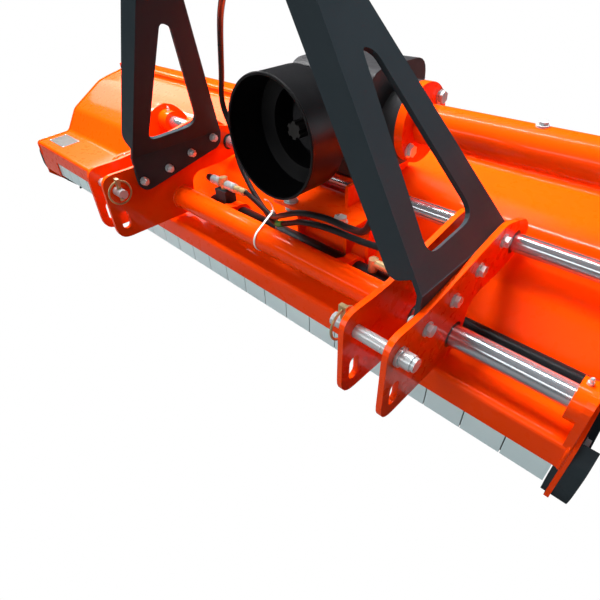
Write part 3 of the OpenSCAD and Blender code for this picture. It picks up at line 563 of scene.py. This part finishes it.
@dataclass
class Tube:
    """A surface through closed rings of points.

    Row i, column j of the points is a vertex; each cell is a face, and the last column is
    joined to the first. The end rings are capped, or joined to each other.
    """

    points: Array
    joined: bool = False

    def faces(self) -> list[list[int]]:
        """Numbers the corners of the cells and caps.

        Returns:
            Vertex numbers of each face.
        """
        rows, columns = self.points.shape[:2]
        index = np.arange(rows * columns).reshape(rows, columns)
        caps = [] if self.joined else index[[0, -1]].tolist()
        if self.joined:
            index = np.concatenate([index, index[:1]])
        index = np.concatenate([index, index[:, :1]], 1)
        cells = np.stack([index[:-1, :-1], index[1:, :-1], index[1:, 1:], index[:-1, 1:]], -1)
        return cells.reshape(-1, 4).tolist() + caps

    def build(self, name: str, sharp: float = 40.0) -> bpy.types.Object:
        """Makes the mesh object, with its normals outward and its faces smooth.

        Args:
            name: Object name.
            sharp: Edges that bend more than this many degrees stay sharp.

        Returns:
            The new object, at the origin in the row frame.
        """
        mesh = bpy.data.meshes.new(name)
        mesh.from_pydata(to_row(self.points.reshape(-1, 3)), [], self.faces())
        mesh.validate()
        work = bmesh.new()
        work.from_mesh(mesh)
        bmesh.ops.recalc_face_normals(work, faces=work.faces)
        work.to_mesh(mesh)
        work.free()
        mesh.shade_smooth()
        mesh.set_sharp_from_angle(angle=np.radians(sharp))
        return place(name, mesh)


def sweep(path: Array, profile: Array, turn: Sequence[float] = (0.2, 1.0, 0.15)) -> Array:
    """Carries a flat profile along a path.

    The side vector is the tangent crossed with a fixed vector, and the up vector the
    tangent crossed with the side; each ring is the path point plus the profile's two
    coordinates times those vectors.

    Args:
        path: Points on the path.
        profile: Profile points for every path point, or one profile for all.
        turn: Fixed vector, nowhere along the path.

    Returns:
        Grid of points, one ring for each path point.
    """
    tangent = unit(np.gradient(path, axis=0))
    side = unit(np.cross(tangent, np.asarray(turn, float)))
    up = np.cross(tangent, side)
    shape = np.broadcast_to(profile, (len(path), *profile.shape[-2:]))
    return path[:, None] + shape[..., :1] * side[:, None] + shape[..., 1:] * up[:, None]


def circle(radius: float, count: int) -> Array:
    """Makes a round profile. Args: radius, count (of points). Returns: points on the circle."""
    a = np.linspace(0.0, 2 * np.pi, count, endpoint=False)
    return radius * np.stack([np.cos(a), np.sin(a)], 1)


def revolve(
    profile: Sequence[Sequence[float]], at: Sequence[float], axis: Sequence[float], count: int
) -> Array:
    """Turns a profile about an axis.

    A profile point (r, h) becomes the centre plus h along the axis plus r times the
    cosine and sine of the angle along two vectors across the axis.

    Args:
        profile: Radius and height of each point.
        at: Centre.
        axis: Direction of the axis.
        count: Steps round the axis.

    Returns:
        Grid of points, one row for each profile point.
    """
    p = np.asarray(profile, float)
    z = unit(np.asarray(axis, float))
    x = unit(np.cross(z, [0.31, 0.87, 0.21]))
    y = np.cross(z, x)
    a = np.linspace(0.0, 2 * np.pi, count, endpoint=False)
    ring = np.cos(a)[:, None] * x + np.sin(a)[:, None] * y
    return np.asarray(at, float) + p[:, None, 1:] * z + p[:, None, :1] * ring


def rectangle(half_width: float, half_height: float) -> Array:
    """Makes a rectangular profile. Args: half_width, half_height. Returns: its corners."""
    return np.array([[-1, -1], [1, -1], [1, 1], [-1, 1]]) * (half_width, half_height)


def block(low: Sequence[float], high: Sequence[float]) -> Tube:
    """Makes a plain box: two rings of four corners, capped at both ends.

    Args:
        low: Lowest corner.
        high: Highest corner.

    Returns:
        The box as a tube.
    """
    (x0, y0, z0), (x1, y1, z1) = low, high
    ring = np.array([[y0, z0], [y1, z0], [y1, z1], [y0, z1]], float)
    points = np.empty((2, 4, 3))
    points[..., 0] = np.array([[x0], [x1]])
    points[..., 1:] = ring
    return Tube(points)


def settle(obj: bpy.types.Object, body: Body, finish: Finish, replaced: str = "") -> None:
    """Paints a new piece and hands it to a CAD body.

    Args:
        obj: The piece.
        body: Body it moves with.
        finish: Its finish.
        replaced: CAD node it takes the place of, if any.
    """
    finish.paint(obj)
    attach(obj, body.value)
    if replaced:
        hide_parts(replaced)
    LOG.info("piece %s on %s, %d faces", obj.name, body.value, len(obj.data.polygons))


def weld(
    name: str, path: Array, radius: float, body: Body,
    step: float = 2.0, swell: float = 0.16, ripple: float = 7.0,
) -> None:
    """Lays a painted weld bead.

    The bead is a circle carried along the path, its radius swelling with the sine of the
    distance along it.

    Args:
        name: Object name.
        path: Points on the path.
        radius: Mean radius.
        body: Body it rides on.
        step: Distance between its rings.
        swell: Share of the radius by which it swells.
        ripple: Length of a ripple.
    """
    along = np.concatenate([[0.0], np.cumsum(np.linalg.norm(np.diff(path, axis=0), axis=1))])
    place = np.arange(0.0, along[-1], step)
    line = np.stack([np.interp(place, along, axis) for axis in path.T], 1)
    size = 1.0 + swell * np.sin(2 * np.pi * place / ripple)
    rings = sweep(line, circle(radius, 8)[None] * size[:, None, None], (1.0, 0.31, 0.17))
    settle(Tube(rings).build(name), body, ORANGE)


# Sub-assemblies


@dataclass
class Deck:
    """The folded deck: its smooth skin, the welds and panel at its ends, and the plain plate.

    Attributes:
        ends: X of its two ends, from the frame.
        sheet: Thickness of the sheet.
        fold: Y and Z of the outer face's corners, from the front face's foot to the lip's top.
        reach: Distance from each inner corner to where its rounding starts.
        bead: Radius of the welds.
        bead_at: Distance of a weld's middle from the deck's end, and its height over the sheet.
        panel: Width of the panel at the left end, and Z of its foot.
        panel_in: Distance of the panel's faces inside the sheet's.
        panel_lap: Height by which the panel laps the front face.
        plate_x: X of the plate's ends.
        plate_y: Y of the plate's sides.
        plate_corner: Radius of the plate's corners.
        rivet: Radius and height of the points on a rivet's outline.
        rivet_in: Distance of the rivets inside the corners' centres.
        rivet_foot: Height of a rivet's foot over the ledge.
    """

    ends: Array = field(default_factory=lambda: node_box("deck_shell")[:, 0])
    sheet: float = 5.0
    fold: Outline = (
        (-38, -116), (-38, -62), (97, -54), (152, 26), (291, 110), (401, 134), (401, 150),
    )
    reach: tuple[float, ...] = (13, 14, 14, 30, 12)
    bead: float = 3.2
    bead_at: tuple[float, float] = (1.5, 0.8)
    panel: tuple[float, float] = (138, -174)
    panel_in: float = 0.5
    panel_lap: float = 1.0
    plate_x: tuple[float, float] = (-1397, -1262)
    plate_y: tuple[float, float] = (-2, 72)
    plate_corner: float = 5.0
    rivet: Outline = ((3.2, 0), (2.6, 1.2), (1.2, 1.8), (0.05, 1.9))
    rivet_in: float = 1.0
    rivet_foot: float = 1.2

    def outline(self) -> Array:
        """Draws the sheet's closed section, along its top and back below. Returns: points."""
        top = fillet(self.fold, self.reach)
        return np.concatenate([top, offset_path(top, self.sheet)[::-1]])

    def build(self) -> None:
        """Makes the skin that stands for the CAD sheet: the outline carried along X."""
        line = self.outline()
        x = np.linspace(*self.ends, 24)
        points = np.empty((len(x), len(line), 3))
        points[..., 0] = x[:, None]
        points[..., 1:] = line
        settle(Tube(points).build("deck_skin"), Body.FRAME, ORANGE, "deck_shell")

    def dress(self) -> None:
        """Adds the plain plate with its rivets, and the welds and the panel at the deck's ends."""
        self.plate()
        self.rivets()
        self.welds()
        self.end_panel()

    def ledge_z(self, y: Array | float) -> Array | float:
        """Gives the ledge's height on the line between its two corners. Args: y. Returns: Z."""
        (y0, z0), (y1, z1) = self.fold[1:3]
        return z0 + (y - y0) * (z1 - z0) / (y1 - y0)

    def plate_size(self) -> tuple[Array, Array]:
        """Gives the plate's middle and its half sizes inside the round corners. Returns: both."""
        sides = np.array([self.plate_x, self.plate_y])
        return sides.mean(1), np.ptp(sides, axis=1) / 2 - self.plate_corner

    def plate(self) -> None:
        """Makes the blank plate on the ledge: a thin slab with round corners and a soft top edge.

        Its edge is the middle, plus the half sizes with the signs of the angle's cosine and
        sine, plus the corner's radius times that cosine and sine.
        """
        centre, half = self.plate_size()
        turn = circle(1.0, 48)
        edge = centre + np.sign(np.round(turn, 9)) * half + self.plate_corner * turn
        lift = np.array([0.1, 1.0, 1.3])
        shrink = np.array([1.0, 1.0, 0.985])
        flat = (edge - centre) * shrink[:, None, None] + centre
        height = self.ledge_z(edge[:, 1]) + lift[:, None]
        points = np.concatenate([flat, height[..., None]], -1)
        settle(Tube(points).build("data_plate"), Body.FRAME, PLATE)

    def rivets(self) -> None:
        """Sets a rivet at each corner of the plate."""
        centre, half = self.plate_size()
        for number, (x, y) in enumerate(rectangle(*(half - self.rivet_in)) + centre):
            at = (x, y, self.ledge_z(y) + self.rivet_foot)
            rings = revolve(self.rivet, at, (0, 0, 1), 20)
            settle(Tube(rings).build(f"plate_rivet_{number}"), Body.FRAME, ZINC)

    def welds(self) -> None:
        """Lays a weld along the outer face at each end."""
        line = fillet(self.fold[:-1], self.reach[:-1], 14)
        inward, above = self.bead_at
        for name, x, way in zip(("weld_left", "weld_right"), self.ends, (1.0, -1.0)):
            path = np.column_stack([np.full(len(line), x + way * inward), line + (0.0, above)])
            weld(name, path, self.bead, Body.FRAME)

    def end_panel(self) -> None:
        """Hangs the flat panel under the front face's left end."""
        y, z = self.fold[0]
        width, foot = self.panel
        low = (self.ends[0], y + self.panel_in, foot)
        high = (self.ends[0] + width, y + self.sheet - self.panel_in, z + self.panel_lap)
        settle(block(low, high).build("end_gusset"), Body.FRAME, ORANGE)


@dataclass
class Hydraulics:
    """The two hoses with their crimps, the left port's fittings, the marker sleeve and the tie.

    Attributes:
        diameter: Thickness of the hoses.
        steps: Steps in each span of a hose.
        left_run: Points on the hose from the left port to the right coupler.
        right_run: Points on the hose from the right port to the left coupler.
        crimp: Outline of a crimp: height over the hose and place along it.
        marker_span: Span of the right run that has the marker sleeve.
        marker_in: Steps of that span left bare before and after the sleeve.
        marker_wall: Thickness of the sleeve.
        port_at: Middle of the left port's fitting.
        port_block: Half sizes of its block along X and Y.
        port_foot: Z of the block's foot.
        port_drop: Distance of the block's top under the middle.
        ferrule: Outline of a ferrule: radius and height.
        ferrule_out: Its distance from the middle.
        hose_end: Outline of the short hose end: radius and height.
        hose_end_out: Its distance from the middle.
        tie_x: X of the tie's middle.
        tie_gaps: Distance of the band's two faces from what it holds.
        tie_half: Half the band's width.
        tie_sharp: Bend in degrees over which the tie's edges stay sharp.
        hose_gap: Further distance of the band from the hoses.
        left_held: Number of the left run's point in the tie.
        right_held: Number of the right run's point in the tie.
        lock: Y, Z and scale of the lock's sections.
        lock_half: Half sizes of a section.
        tail_run: Points on the tie's loose tail.
        tail_half: Half sizes of its section.
    """

    diameter: float = 13.0
    steps: int = 8
    left_run: tuple[Point, ...] = (
        (-221, 58, 53), (-207, 58, 53), (-191, 58, 53), (-130, 46, 46), (-70, 31, 44), (-20, 17, 70),
        (40, 12, 98), (110, 10, 112), (180, 0, 120), (238, -30, 150), (276, -62, 220), (270, -70, 300),
        (222, -60, 400), (110, -32, 480), (74, -24, 519), (74, -24, 531), (74, -24, 543),
    )
    right_run: tuple[Point, ...] = (
        (240, 58, 24), (248, 58, 24), (256, 58, 24), (280, 42, 42), (288, 20, 76), (262, 12, 98),
        (200, 12, 94), (115, 13, 90), (40, 18, 74), (-20, 26, 46), (-70, 35, 27), (-140, 60, 36),
        (-216, 86, 62), (-266, 100, 108), (-284, 104, 176), (-308, 104, 240), (-290, 100, 310),
        (-216, 60, 420), (-110, 0, 486), (-74, -24, 519), (-74, -24, 531), (-74, -24, 543),
    )
    crimp: Outline = (
        (0, -6), (3, -6), (3, 3), (2, 4), (2, 7), (3, 8), (3, 12),
        (2, 13), (2, 16), (3, 17), (3, 21), (1, 23), (0, 23),
    )
    marker_span: int = 9
    marker_in: tuple[int, int] = (2, 1)
    marker_wall: float = 0.9
    port_at: Point = (-285, 58, 53)
    port_block: tuple[float, float] = (21, 17)
    port_foot: float = -2.0
    port_drop: float = 13.0
    ferrule: Outline = (
        (9, 0), (11.5, 0), (11.5, 8), (10.5, 9), (10.5, 13), (11.5, 14),
        (11.5, 20), (10.5, 21), (10.5, 25), (11.5, 26), (11.5, 33), (9, 35),
    )
    ferrule_out: float = 13.0
    hose_end: Outline = ((10, 0), (10, 22), (8.5, 25), (0.05, 25))
    hose_end_out: float = 42.0
    tie_x: float = -70.5
    tie_gaps: tuple[float, float] = (0.4, 1.9)
    tie_half: float = 2.6
    tie_sharp: float = 30.0
    hose_gap: float = 1.6
    left_held: int = 4
    right_held: int = 10
    lock: tuple[Point, ...] = ((34, 50, 1.0), (33, 57, 1.0), (32.8, 58, 0.8))
    lock_half: tuple[float, float] = (4.0, 3.5)
    tail_run: tuple[Point, ...] = (
        (-70.5, 34, 56), (-70, 33, 64), (-66, 26, 78), (-60, 14, 92), (-56, 0, 102),
    )
    tail_half: tuple[float, float] = (2.4, 0.6)

    def build(self) -> None:
        """Makes the hoses, smooth tubes along the same points as the CAD hoses."""
        for name, run in (("hose_left_port", self.left_run), ("hose_right_port", self.right_run)):
            rings = sweep(smooth_path(run, self.steps), circle(self.diameter / 2, 20))
            settle(Tube(rings).build(f"{name}_tube"), Body.HEAD, RUBBER, name)

    def dress(self) -> None:
        """Adds the port's fittings, the crimps, the marker sleeve and the cable tie."""
        self.port()
        self.crimps()
        self.marker_sleeve()
        self.tie()

    def port(self) -> None:
        """Dresses the left port: a black block, two pressed ferrules and a short black hose end."""
        x, y, z = self.port_at
        wide, deep = self.port_block
        low = (x - wide, y - deep, self.port_foot)
        high = (x + wide, y + deep, z - self.port_drop)
        settle(block(low, high).build("port_block"), Body.HEAD, BLACK)
        for name, way in (("ferrule_left", -1), ("ferrule_right", 1)):
            rings = revolve(self.ferrule, (x + way * self.ferrule_out, y, z), (way, 0, 0), 40)
            settle(Tube(rings, joined=True).build(name), Body.HEAD, ZINC)
        rings = revolve(self.hose_end, (x - self.hose_end_out, y, z), (-1, 0, 0), 32)
        settle(Tube(rings).build("hose_end_left"), Body.HEAD, RUBBER)

    def crimps(self) -> None:
        """Turns a ribbed crimp on both ends of both hoses."""
        shape = np.array(self.crimp) + (self.diameter / 2, 0.0)
        ends = (
            ("crimp_left_port", self.left_run[0], (1, 0, 0)),
            ("crimp_right_port", self.right_run[0], (1, 0, 0)),
            ("crimp_left_coupler", self.right_run[-1], (0, 0, -1)),
            ("crimp_right_coupler", self.left_run[-1], (0, 0, -1)),
        )
        for name, at, axis in ends:
            rings = revolve(shape, at, axis, 32)
            settle(Tube(rings, joined=True).build(name), Body.HEAD, BRASS)

    def marker_sleeve(self) -> None:
        """Wraps the green sleeve round a short stretch of the right port's hose."""
        before, after = self.marker_in
        start = self.marker_span * self.steps
        path = smooth_path(self.right_run, self.steps)[start + before : start + self.steps - after]
        rings = sweep(path, circle(self.diameter / 2 + self.marker_wall, 20))
        settle(Tube(rings).build("marker_sleeve"), Body.HEAD, GREEN)

    def tie_loop(self, gap: float) -> Array:
        """Draws the tie's loop: an arc round the sleeve tube and one round each hose.

        Args:
            gap: Distance outside what it holds.

        Returns:
            Closed loop in Y and Z.
        """
        hose = self.diameter / 2 + gap + self.hose_gap
        arcs = (
            ((0.0, 0.0), SLEEVE_R + gap, np.radians(np.linspace(120, 335, 40))),
            (self.right_run[self.right_held][1:], hose, np.radians(np.linspace(-25, 0, 6))),
            (self.left_run[self.left_held][1:], hose, np.radians(np.linspace(15, 120, 18))),
        )
        return np.concatenate([
            radius * np.stack([np.cos(a), np.sin(a)], 1) + centre for centre, radius, a in arcs
        ])

    def tie(self) -> None:
        """Makes the cable tie: a flat band round the loop, a lock head and a loose tail."""
        inner, outer = map(self.tie_loop, self.tie_gaps)
        rings = np.empty((len(inner), 4, 3))
        rings[..., 0] = self.tie_x + self.tie_half * np.array([-1, -1, 1, 1])
        rings[:, [0, 3], 1:] = inner[:, None]
        rings[:, [1, 2], 1:] = outer[:, None]
        band = Tube(rings, joined=True).build("cable_tie_band", self.tie_sharp)
        settle(band, Body.HEAD, WHITE, "cable_tie")
        lock = np.array(self.lock)
        section = rectangle(*self.lock_half) * lock[:, None, 2:]
        points = np.empty((len(lock), 4, 3))
        points[..., 0] = self.tie_x + section[..., 0]
        points[..., 1] = lock[:, :1] + section[..., 1]
        points[..., 2] = lock[:, 1:2]
        tail = sweep(smooth_path(self.tail_run, self.steps), rectangle(*self.tail_half), (0.1, 1.0, 0.4))
        for name, rows in (("cable_tie_head", points), ("cable_tie_tail", tail)):
            settle(Tube(rows).build(name, self.tie_sharp), Body.HEAD, WHITE)


@dataclass
class Headstock:
    """Welds on the sleeve tube, the guard's rolled rim and the nuts on the left mast leg's foot.

    Attributes:
        bead: Radius of the sleeve tube's welds.
        bead_in: Distance of the welds from the tube's ends.
        rim: Radius of the guard's rolled rim.
        rim_in: Distance of the rim's middle from the guard's outside and front.
        nut_face: X of the nuts' faces.
        nut_places: Y and Z of the nuts.
        nut_end: Radius and height of the points on the outline of a collar and bolt end.
    """

    bead: float = 3.4
    bead_in: float = 2.0
    rim: float = 3.2
    rim_in: float = 2.0
    nut_face: float = -386.8
    nut_places: Outline = ((-103, 83), (-28, 93), (45, 112), (120, 132))
    nut_end: Outline = (
        (8.8, -0.4), (8.8, 1.6), (7.6, 2.8), (6.0, 2.8), (6.0, 6.0), (5.0, 7.0), (0.05, 7.0),
    )

    def build(self) -> None:
        """Lays a weld round each end of the sleeve tube."""
        a = np.linspace(0.0, 2 * np.pi, 120)
        left, right = node_box("sleeve_tube")[:, 0]
        ends = (("weld_sleeve_left", left + self.bead_in), ("weld_sleeve_right", right - self.bead_in))
        for name, x in ends:
            ring = np.stack([np.full_like(a, x), SLEEVE_R * np.cos(a), SLEEVE_R * np.sin(a)], 1)
            weld(name, ring, self.bead, Body.HEAD)

    def dress(self) -> None:
        """Adds the guard's rim and the ends of the nuts."""
        self.guard_rim()
        self.nuts()

    def guard_rim(self) -> None:
        """Rolls the guard's front rim: a small circle turned about the shaft's axis."""
        low, high = node_box("pto_guard")
        centre = (low + high) / 2
        rim = circle(self.rim, 12) + (high[0] - centre[0] - self.rim_in, 0.0)
        points = revolve(rim, (centre[0], low[1] + self.rim_in, centre[2]), (0, 1, 0), 128)
        settle(Tube(points, joined=True).build("guard_rim"), Body.FRAME, GUARD)

    def nuts(self) -> None:
        """Puts a locking collar and a chamfered bolt end on each nut of the left leg's foot."""
        for number, (y, z) in enumerate(self.nut_places, 1):
            rings = revolve(self.nut_end, (self.nut_face, y, z), (1, 0, 0), 28)
            settle(Tube(rings).build(f"nut_end_left_{number}"), Body.HEAD, ZINC)


@dataclass
class FlapSlitShade:
    """Dark strips behind the front flaps, which close the slits between them: painted shade, standing for
    the shadow in the slits.

    Attributes:
        groups: Bodies of the groups of flaps. A node's name is front_ and its body's.
        flap: Thickness of a flap.
        gap: Distance of a strip behind the flaps.
        strip: Thickness of a strip.
        foot: Height of a strip's lower edge over the flaps'.
        top: Height of its upper edge over the flaps' lower one.
    """

    groups: tuple[Body, ...] = (Body.FLAPS_LEFT, Body.FLAPS_MIDDLE, Body.FLAPS_RIGHT)
    flap: float = 4.0
    gap: float = 0.2
    strip: float = 1.0
    foot: float = 3.0
    top: float = 48.0

    def build(self) -> None:
        """Lays a flat dark strip, painted shade for the slits, on the back of each group of flaps."""
        for body in self.groups:
            node = f"front_{body.value}"
            (left, front, low), (right, _, _) = node_box(node)
            back = front + self.flap + self.gap
            piece = block((left, back, low + self.foot), (right, back + self.strip, low + self.top))
            # Painted shade: a black strip behind the slits, standing for the shadow between the flaps.
            settle(piece.build(f"{node}_strip"), body, RUBBER)


@dataclass
class GreasePoints:
    """Grease nipples on the bar brackets and a bearing.

    Attributes:
        spots: Name and foot of each nipple.
        profile: Radius and height of the points on a nipple's outline.
    """

    spots: tuple[tuple[str, Point], ...] = (
        ("nipple_left_bar", (-710, 0, 36)),
        ("nipple_left_rear_bar", (-710, 180, 134)),
        ("nipple_right_bar", (622, 0, 36)),
        ("nipple_left_bearing", (-1460, 335, -50)),
    )
    profile: Outline = (
        (4.6, -0.5), (4.6, 4), (3.0, 4.4), (2.4, 7), (3.2, 9), (3.2, 10.5), (1.6, 12.5), (0.05, 12.8),
    )

    def build(self) -> None:
        """Turns the nipple's profile about an upright axis at each spot."""
        for name, at in self.spots:
            rings = revolve(self.profile, at, (0, 0, 1), 20)
            settle(Tube(rings).build(name), Body.FRAME, ZINC)


@dataclass
class CadDress:
    """Finishes and soft edges of the CAD nodes that are shown as they are.

    Attributes:
        finishes: Finishes of the record slots.
        pairs: Flat nodes with soft edges that are there left and right, without the side.
        middle: Other flat nodes with soft edges.
        special: Nodes whose finish isn't their slot's.
        edge: Width of a soft edge in metres.
        segments: Faces across a soft edge.
        corner: Least bend of a soft edge in degrees.
        merge: Distance in metres under which corners are joined.
    """

    finishes: tuple[Finish, ...] = (
        ORANGE, BLACK, CASTING, ZINC, STEEL, CHROME, YELLOW_ZINC, BRASS, RUBBER, GUARD, GREY, WHITE,
    )
    pairs: tuple[str, ...] = (
        "outer_plate", "inner_plate", "mast_leg", "side_plate", "skid", "roller_bracket",
    )
    middle: tuple[str, ...] = ("top_link_bracket",)
    special: dict[str, Finish] = field(default_factory=lambda: {
        "pto_input_shaft": DARK_STEEL, "cylinder_barrel": ENAMEL, "cylinder_rod": ENAMEL,
        "front_flaps_left": SHEET, "front_flaps_middle": SHEET, "front_flaps_right": SHEET,
    })
    edge: float = 0.0012
    segments: int = 2
    corner: float = 50.0
    merge: float = 1.0e-6

    def dress(self) -> None:
        """Paints every node, and joins the facets of flat sheets so that a bevel breaks their edges."""
        slots = {part["node"]: part["material_slot"] for part in frame["record"]["subparts"]}
        finishes = {finish.record_slot(): finish for finish in self.finishes}
        sheets = {f"{side}_{piece}" for side in ("left", "right") for piece in self.pairs}
        sheets.update(self.middle)
        for name, obj in frame["nodes"].items():
            self.special.get(name, finishes[slots[name]]).paint(obj)
            if name in sheets:
                obj.modifiers.new("join_facets", "WELD").merge_threshold = self.merge
                bevel = obj.modifiers.new("edge_break", "BEVEL")
                bevel.width = self.edge
                bevel.segments = self.segments
                bevel.limit_method = "ANGLE"
                bevel.angle_limit = np.radians(self.corner)
                bevel.harden_normals = True
            LOG.info("node %s: %s", name, slots[name])


# Studio


def placement(x: Array, y: Array, z: Array, at: Array | Point) -> Matrix:
    """Makes a placement from three axes and a point. Args: x, y, z, at. Returns: the matrix."""
    rows = np.stack([x, y, z, at], 1).tolist()
    return Matrix([*rows, [0.0, 0.0, 0.0, 1.0]])


@dataclass(frozen=True)
class Lamp:
    """A soft rectangular light, in metres in the row frame.

    Attributes:
        aim: The point it faces.
        size: Its length and width.
        power: Its power in watts.
        mirrored: False if shiny surfaces don't mirror it.
    """

    name: str
    at: Point
    aim: Point
    size: tuple[float, float]
    power: float
    tint: Colour = (1.0, 1.0, 1.0)
    mirrored: bool = True

    def hang(self) -> None:
        """Makes the light and turns it to its aim."""
        data = bpy.data.lights.new(self.name, "AREA")
        data.shape = "RECTANGLE"
        data.size, data.size_y = self.size
        data.energy = self.power
        data.color = self.tint
        lamp = place(self.name, data)
        lamp.visible_glossy = self.mirrored
        back = unit(np.subtract(self.at, self.aim))
        side = unit(np.cross([0.0, 1.0, 0.01], back))
        lamp.matrix_world = placement(side, np.cross(back, side), back, self.at)


@dataclass
class Studio:
    """Floor, light and camera.

    Attributes:
        camera_at: Place of the camera.
        right: The picture's right.
        down: The picture's down.
        forward: The way the camera looks.
        lens: Focal length for a sensor 36 mm wide.
        sky: Colours of the sky at the horizon and overhead.
        sky_strength: Strength of the sky.
        floor_reach: Half the floor's side in metres.
        floor_colour: Colour of the floor.
        lamps: The lights.
    """

    camera_at: Point = (628.5, -568.2, 532.9)
    right: Point = (0.7138, 0.6995, -0.0338)
    down: Point = (0.4208, -0.467, -0.7777)
    forward: Point = (-0.5598, 0.5409, -0.6277)
    lens: float = 26.5
    sky: tuple[Colour, Colour] = ((0.030, 0.032, 0.036), (0.20, 0.215, 0.23))
    sky_strength: float = 0.3
    floor_reach: float = 30.0
    floor_colour: Colour = (0.10, 0.10, 0.10)
    lamps: tuple[Lamp, ...] = (
        Lamp("top_light", (-0.6, 0.4, 2.8), (-0.1, 0.0, 0.3), (1.7, 1.7), 370.0, mirrored=False),
        Lamp("high_strip", (-0.7, 0.1, 2.3), (-0.1, 0.0, 0.3), (4.2, 0.10), 50.0),
        Lamp("front_strip", (0.0, -2.8, 1.5), (0.0, 0.0, 0.4), (4.0, 0.30), 14.0),
        Lamp("left_light", (-2.7, 0.6, 1.9), (-0.6, 0.0, 0.3), (1.5, 1.5), 22.0),
        Lamp("front_light", (0.3, -2.9, 1.5), (0.0, 0.0, 0.4), (1.6, 1.6), 36.0, mirrored=False),
        Lamp("right_light", (3.3, 1.5, 1.1), (0.4, -0.1, 0.5), (1.8, 1.8), 24.0, (0.78, 0.92, 1.0)),
    )

    def build(self) -> None:
        """Sets the whole studio up."""
        scene = bpy.context.scene
        scene.view_settings.view_transform = "Standard"
        self.floor()
        scene.world = self.world()
        for lamp in self.lamps:
            lamp.hang()
        scene.camera = self.camera()

    def floor(self) -> None:
        """Lays a dark floor that the camera sees as plain white."""
        corners = np.column_stack([rectangle(self.floor_reach, self.floor_reach), np.zeros(4)])
        mesh = bpy.data.meshes.new("floor")
        mesh.from_pydata(corners.tolist(), [], [(0, 1, 2, 3)])
        floor = place("floor", mesh)
        material = bpy.data.materials.new("floor")
        material.use_nodes = True
        shader = Shader(material.node_tree)
        dark = shader.add("ShaderNodeBsdfDiffuse", Color=(*self.floor_colour, 1.0))
        white = shader.add("ShaderNodeEmission", Color=(1.0, 1.0, 1.0, 1.0), Strength=1.0)
        shader.add("ShaderNodeOutputMaterial", Surface=shader.to_camera(dark, white))
        mesh.materials.append(material)

    def world(self) -> bpy.types.World:
        """Makes a soft sky that the camera sees as plain white.

        Returns:
            The world.
        """
        world = bpy.data.worlds.new("studio")
        world.use_nodes = True
        shader = Shader(world.node_tree)
        where = shader.out(shader.add("ShaderNodeTexCoord"), "Generated")
        split = shader.add("ShaderNodeSeparateXYZ", Vector=where)
        height = (shader.out(split, "Z") * 1.2 - 0.05).limited(0.0, 1.0)
        colour = shader.mix(height, *self.sky)
        sky = shader.add("ShaderNodeBackground", Color=colour, Strength=self.sky_strength)
        white = shader.add("ShaderNodeBackground", Color=(1.0, 1.0, 1.0, 1.0), Strength=1.0)
        shader.add("ShaderNodeOutputWorld", Surface=shader.to_camera(sky, white))
        return world

    def camera(self) -> bpy.types.Object:
        """Places the camera where the photograph was taken.

        Returns:
            The camera.
        """
        data = bpy.data.cameras.new("camera")
        data.sensor_fit = "HORIZONTAL"
        data.sensor_width = 36.0
        data.lens = self.lens
        data.clip_start = 0.05
        data.clip_end = 100.0
        camera = place("camera", data)
        right, down, forward = map(np.array, (self.right, self.down, self.forward))
        camera.matrix_world = placement(right, -down, -forward, to_row(self.camera_at))
        return camera


def main() -> None:
    """Builds the looks and logs the faces of each new piece."""
    logging.basicConfig(level=logging.INFO, format="%(name)s: %(message)s")
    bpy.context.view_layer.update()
    CadDress().dress()
    for assembly in (Deck(), Hydraulics(), Headstock()):
        assembly.build()
        assembly.dress()
    for rest in (FlapSlitShade(), GreasePoints(), Studio()):
        rest.build()


if __name__ == "__main__":
    main()
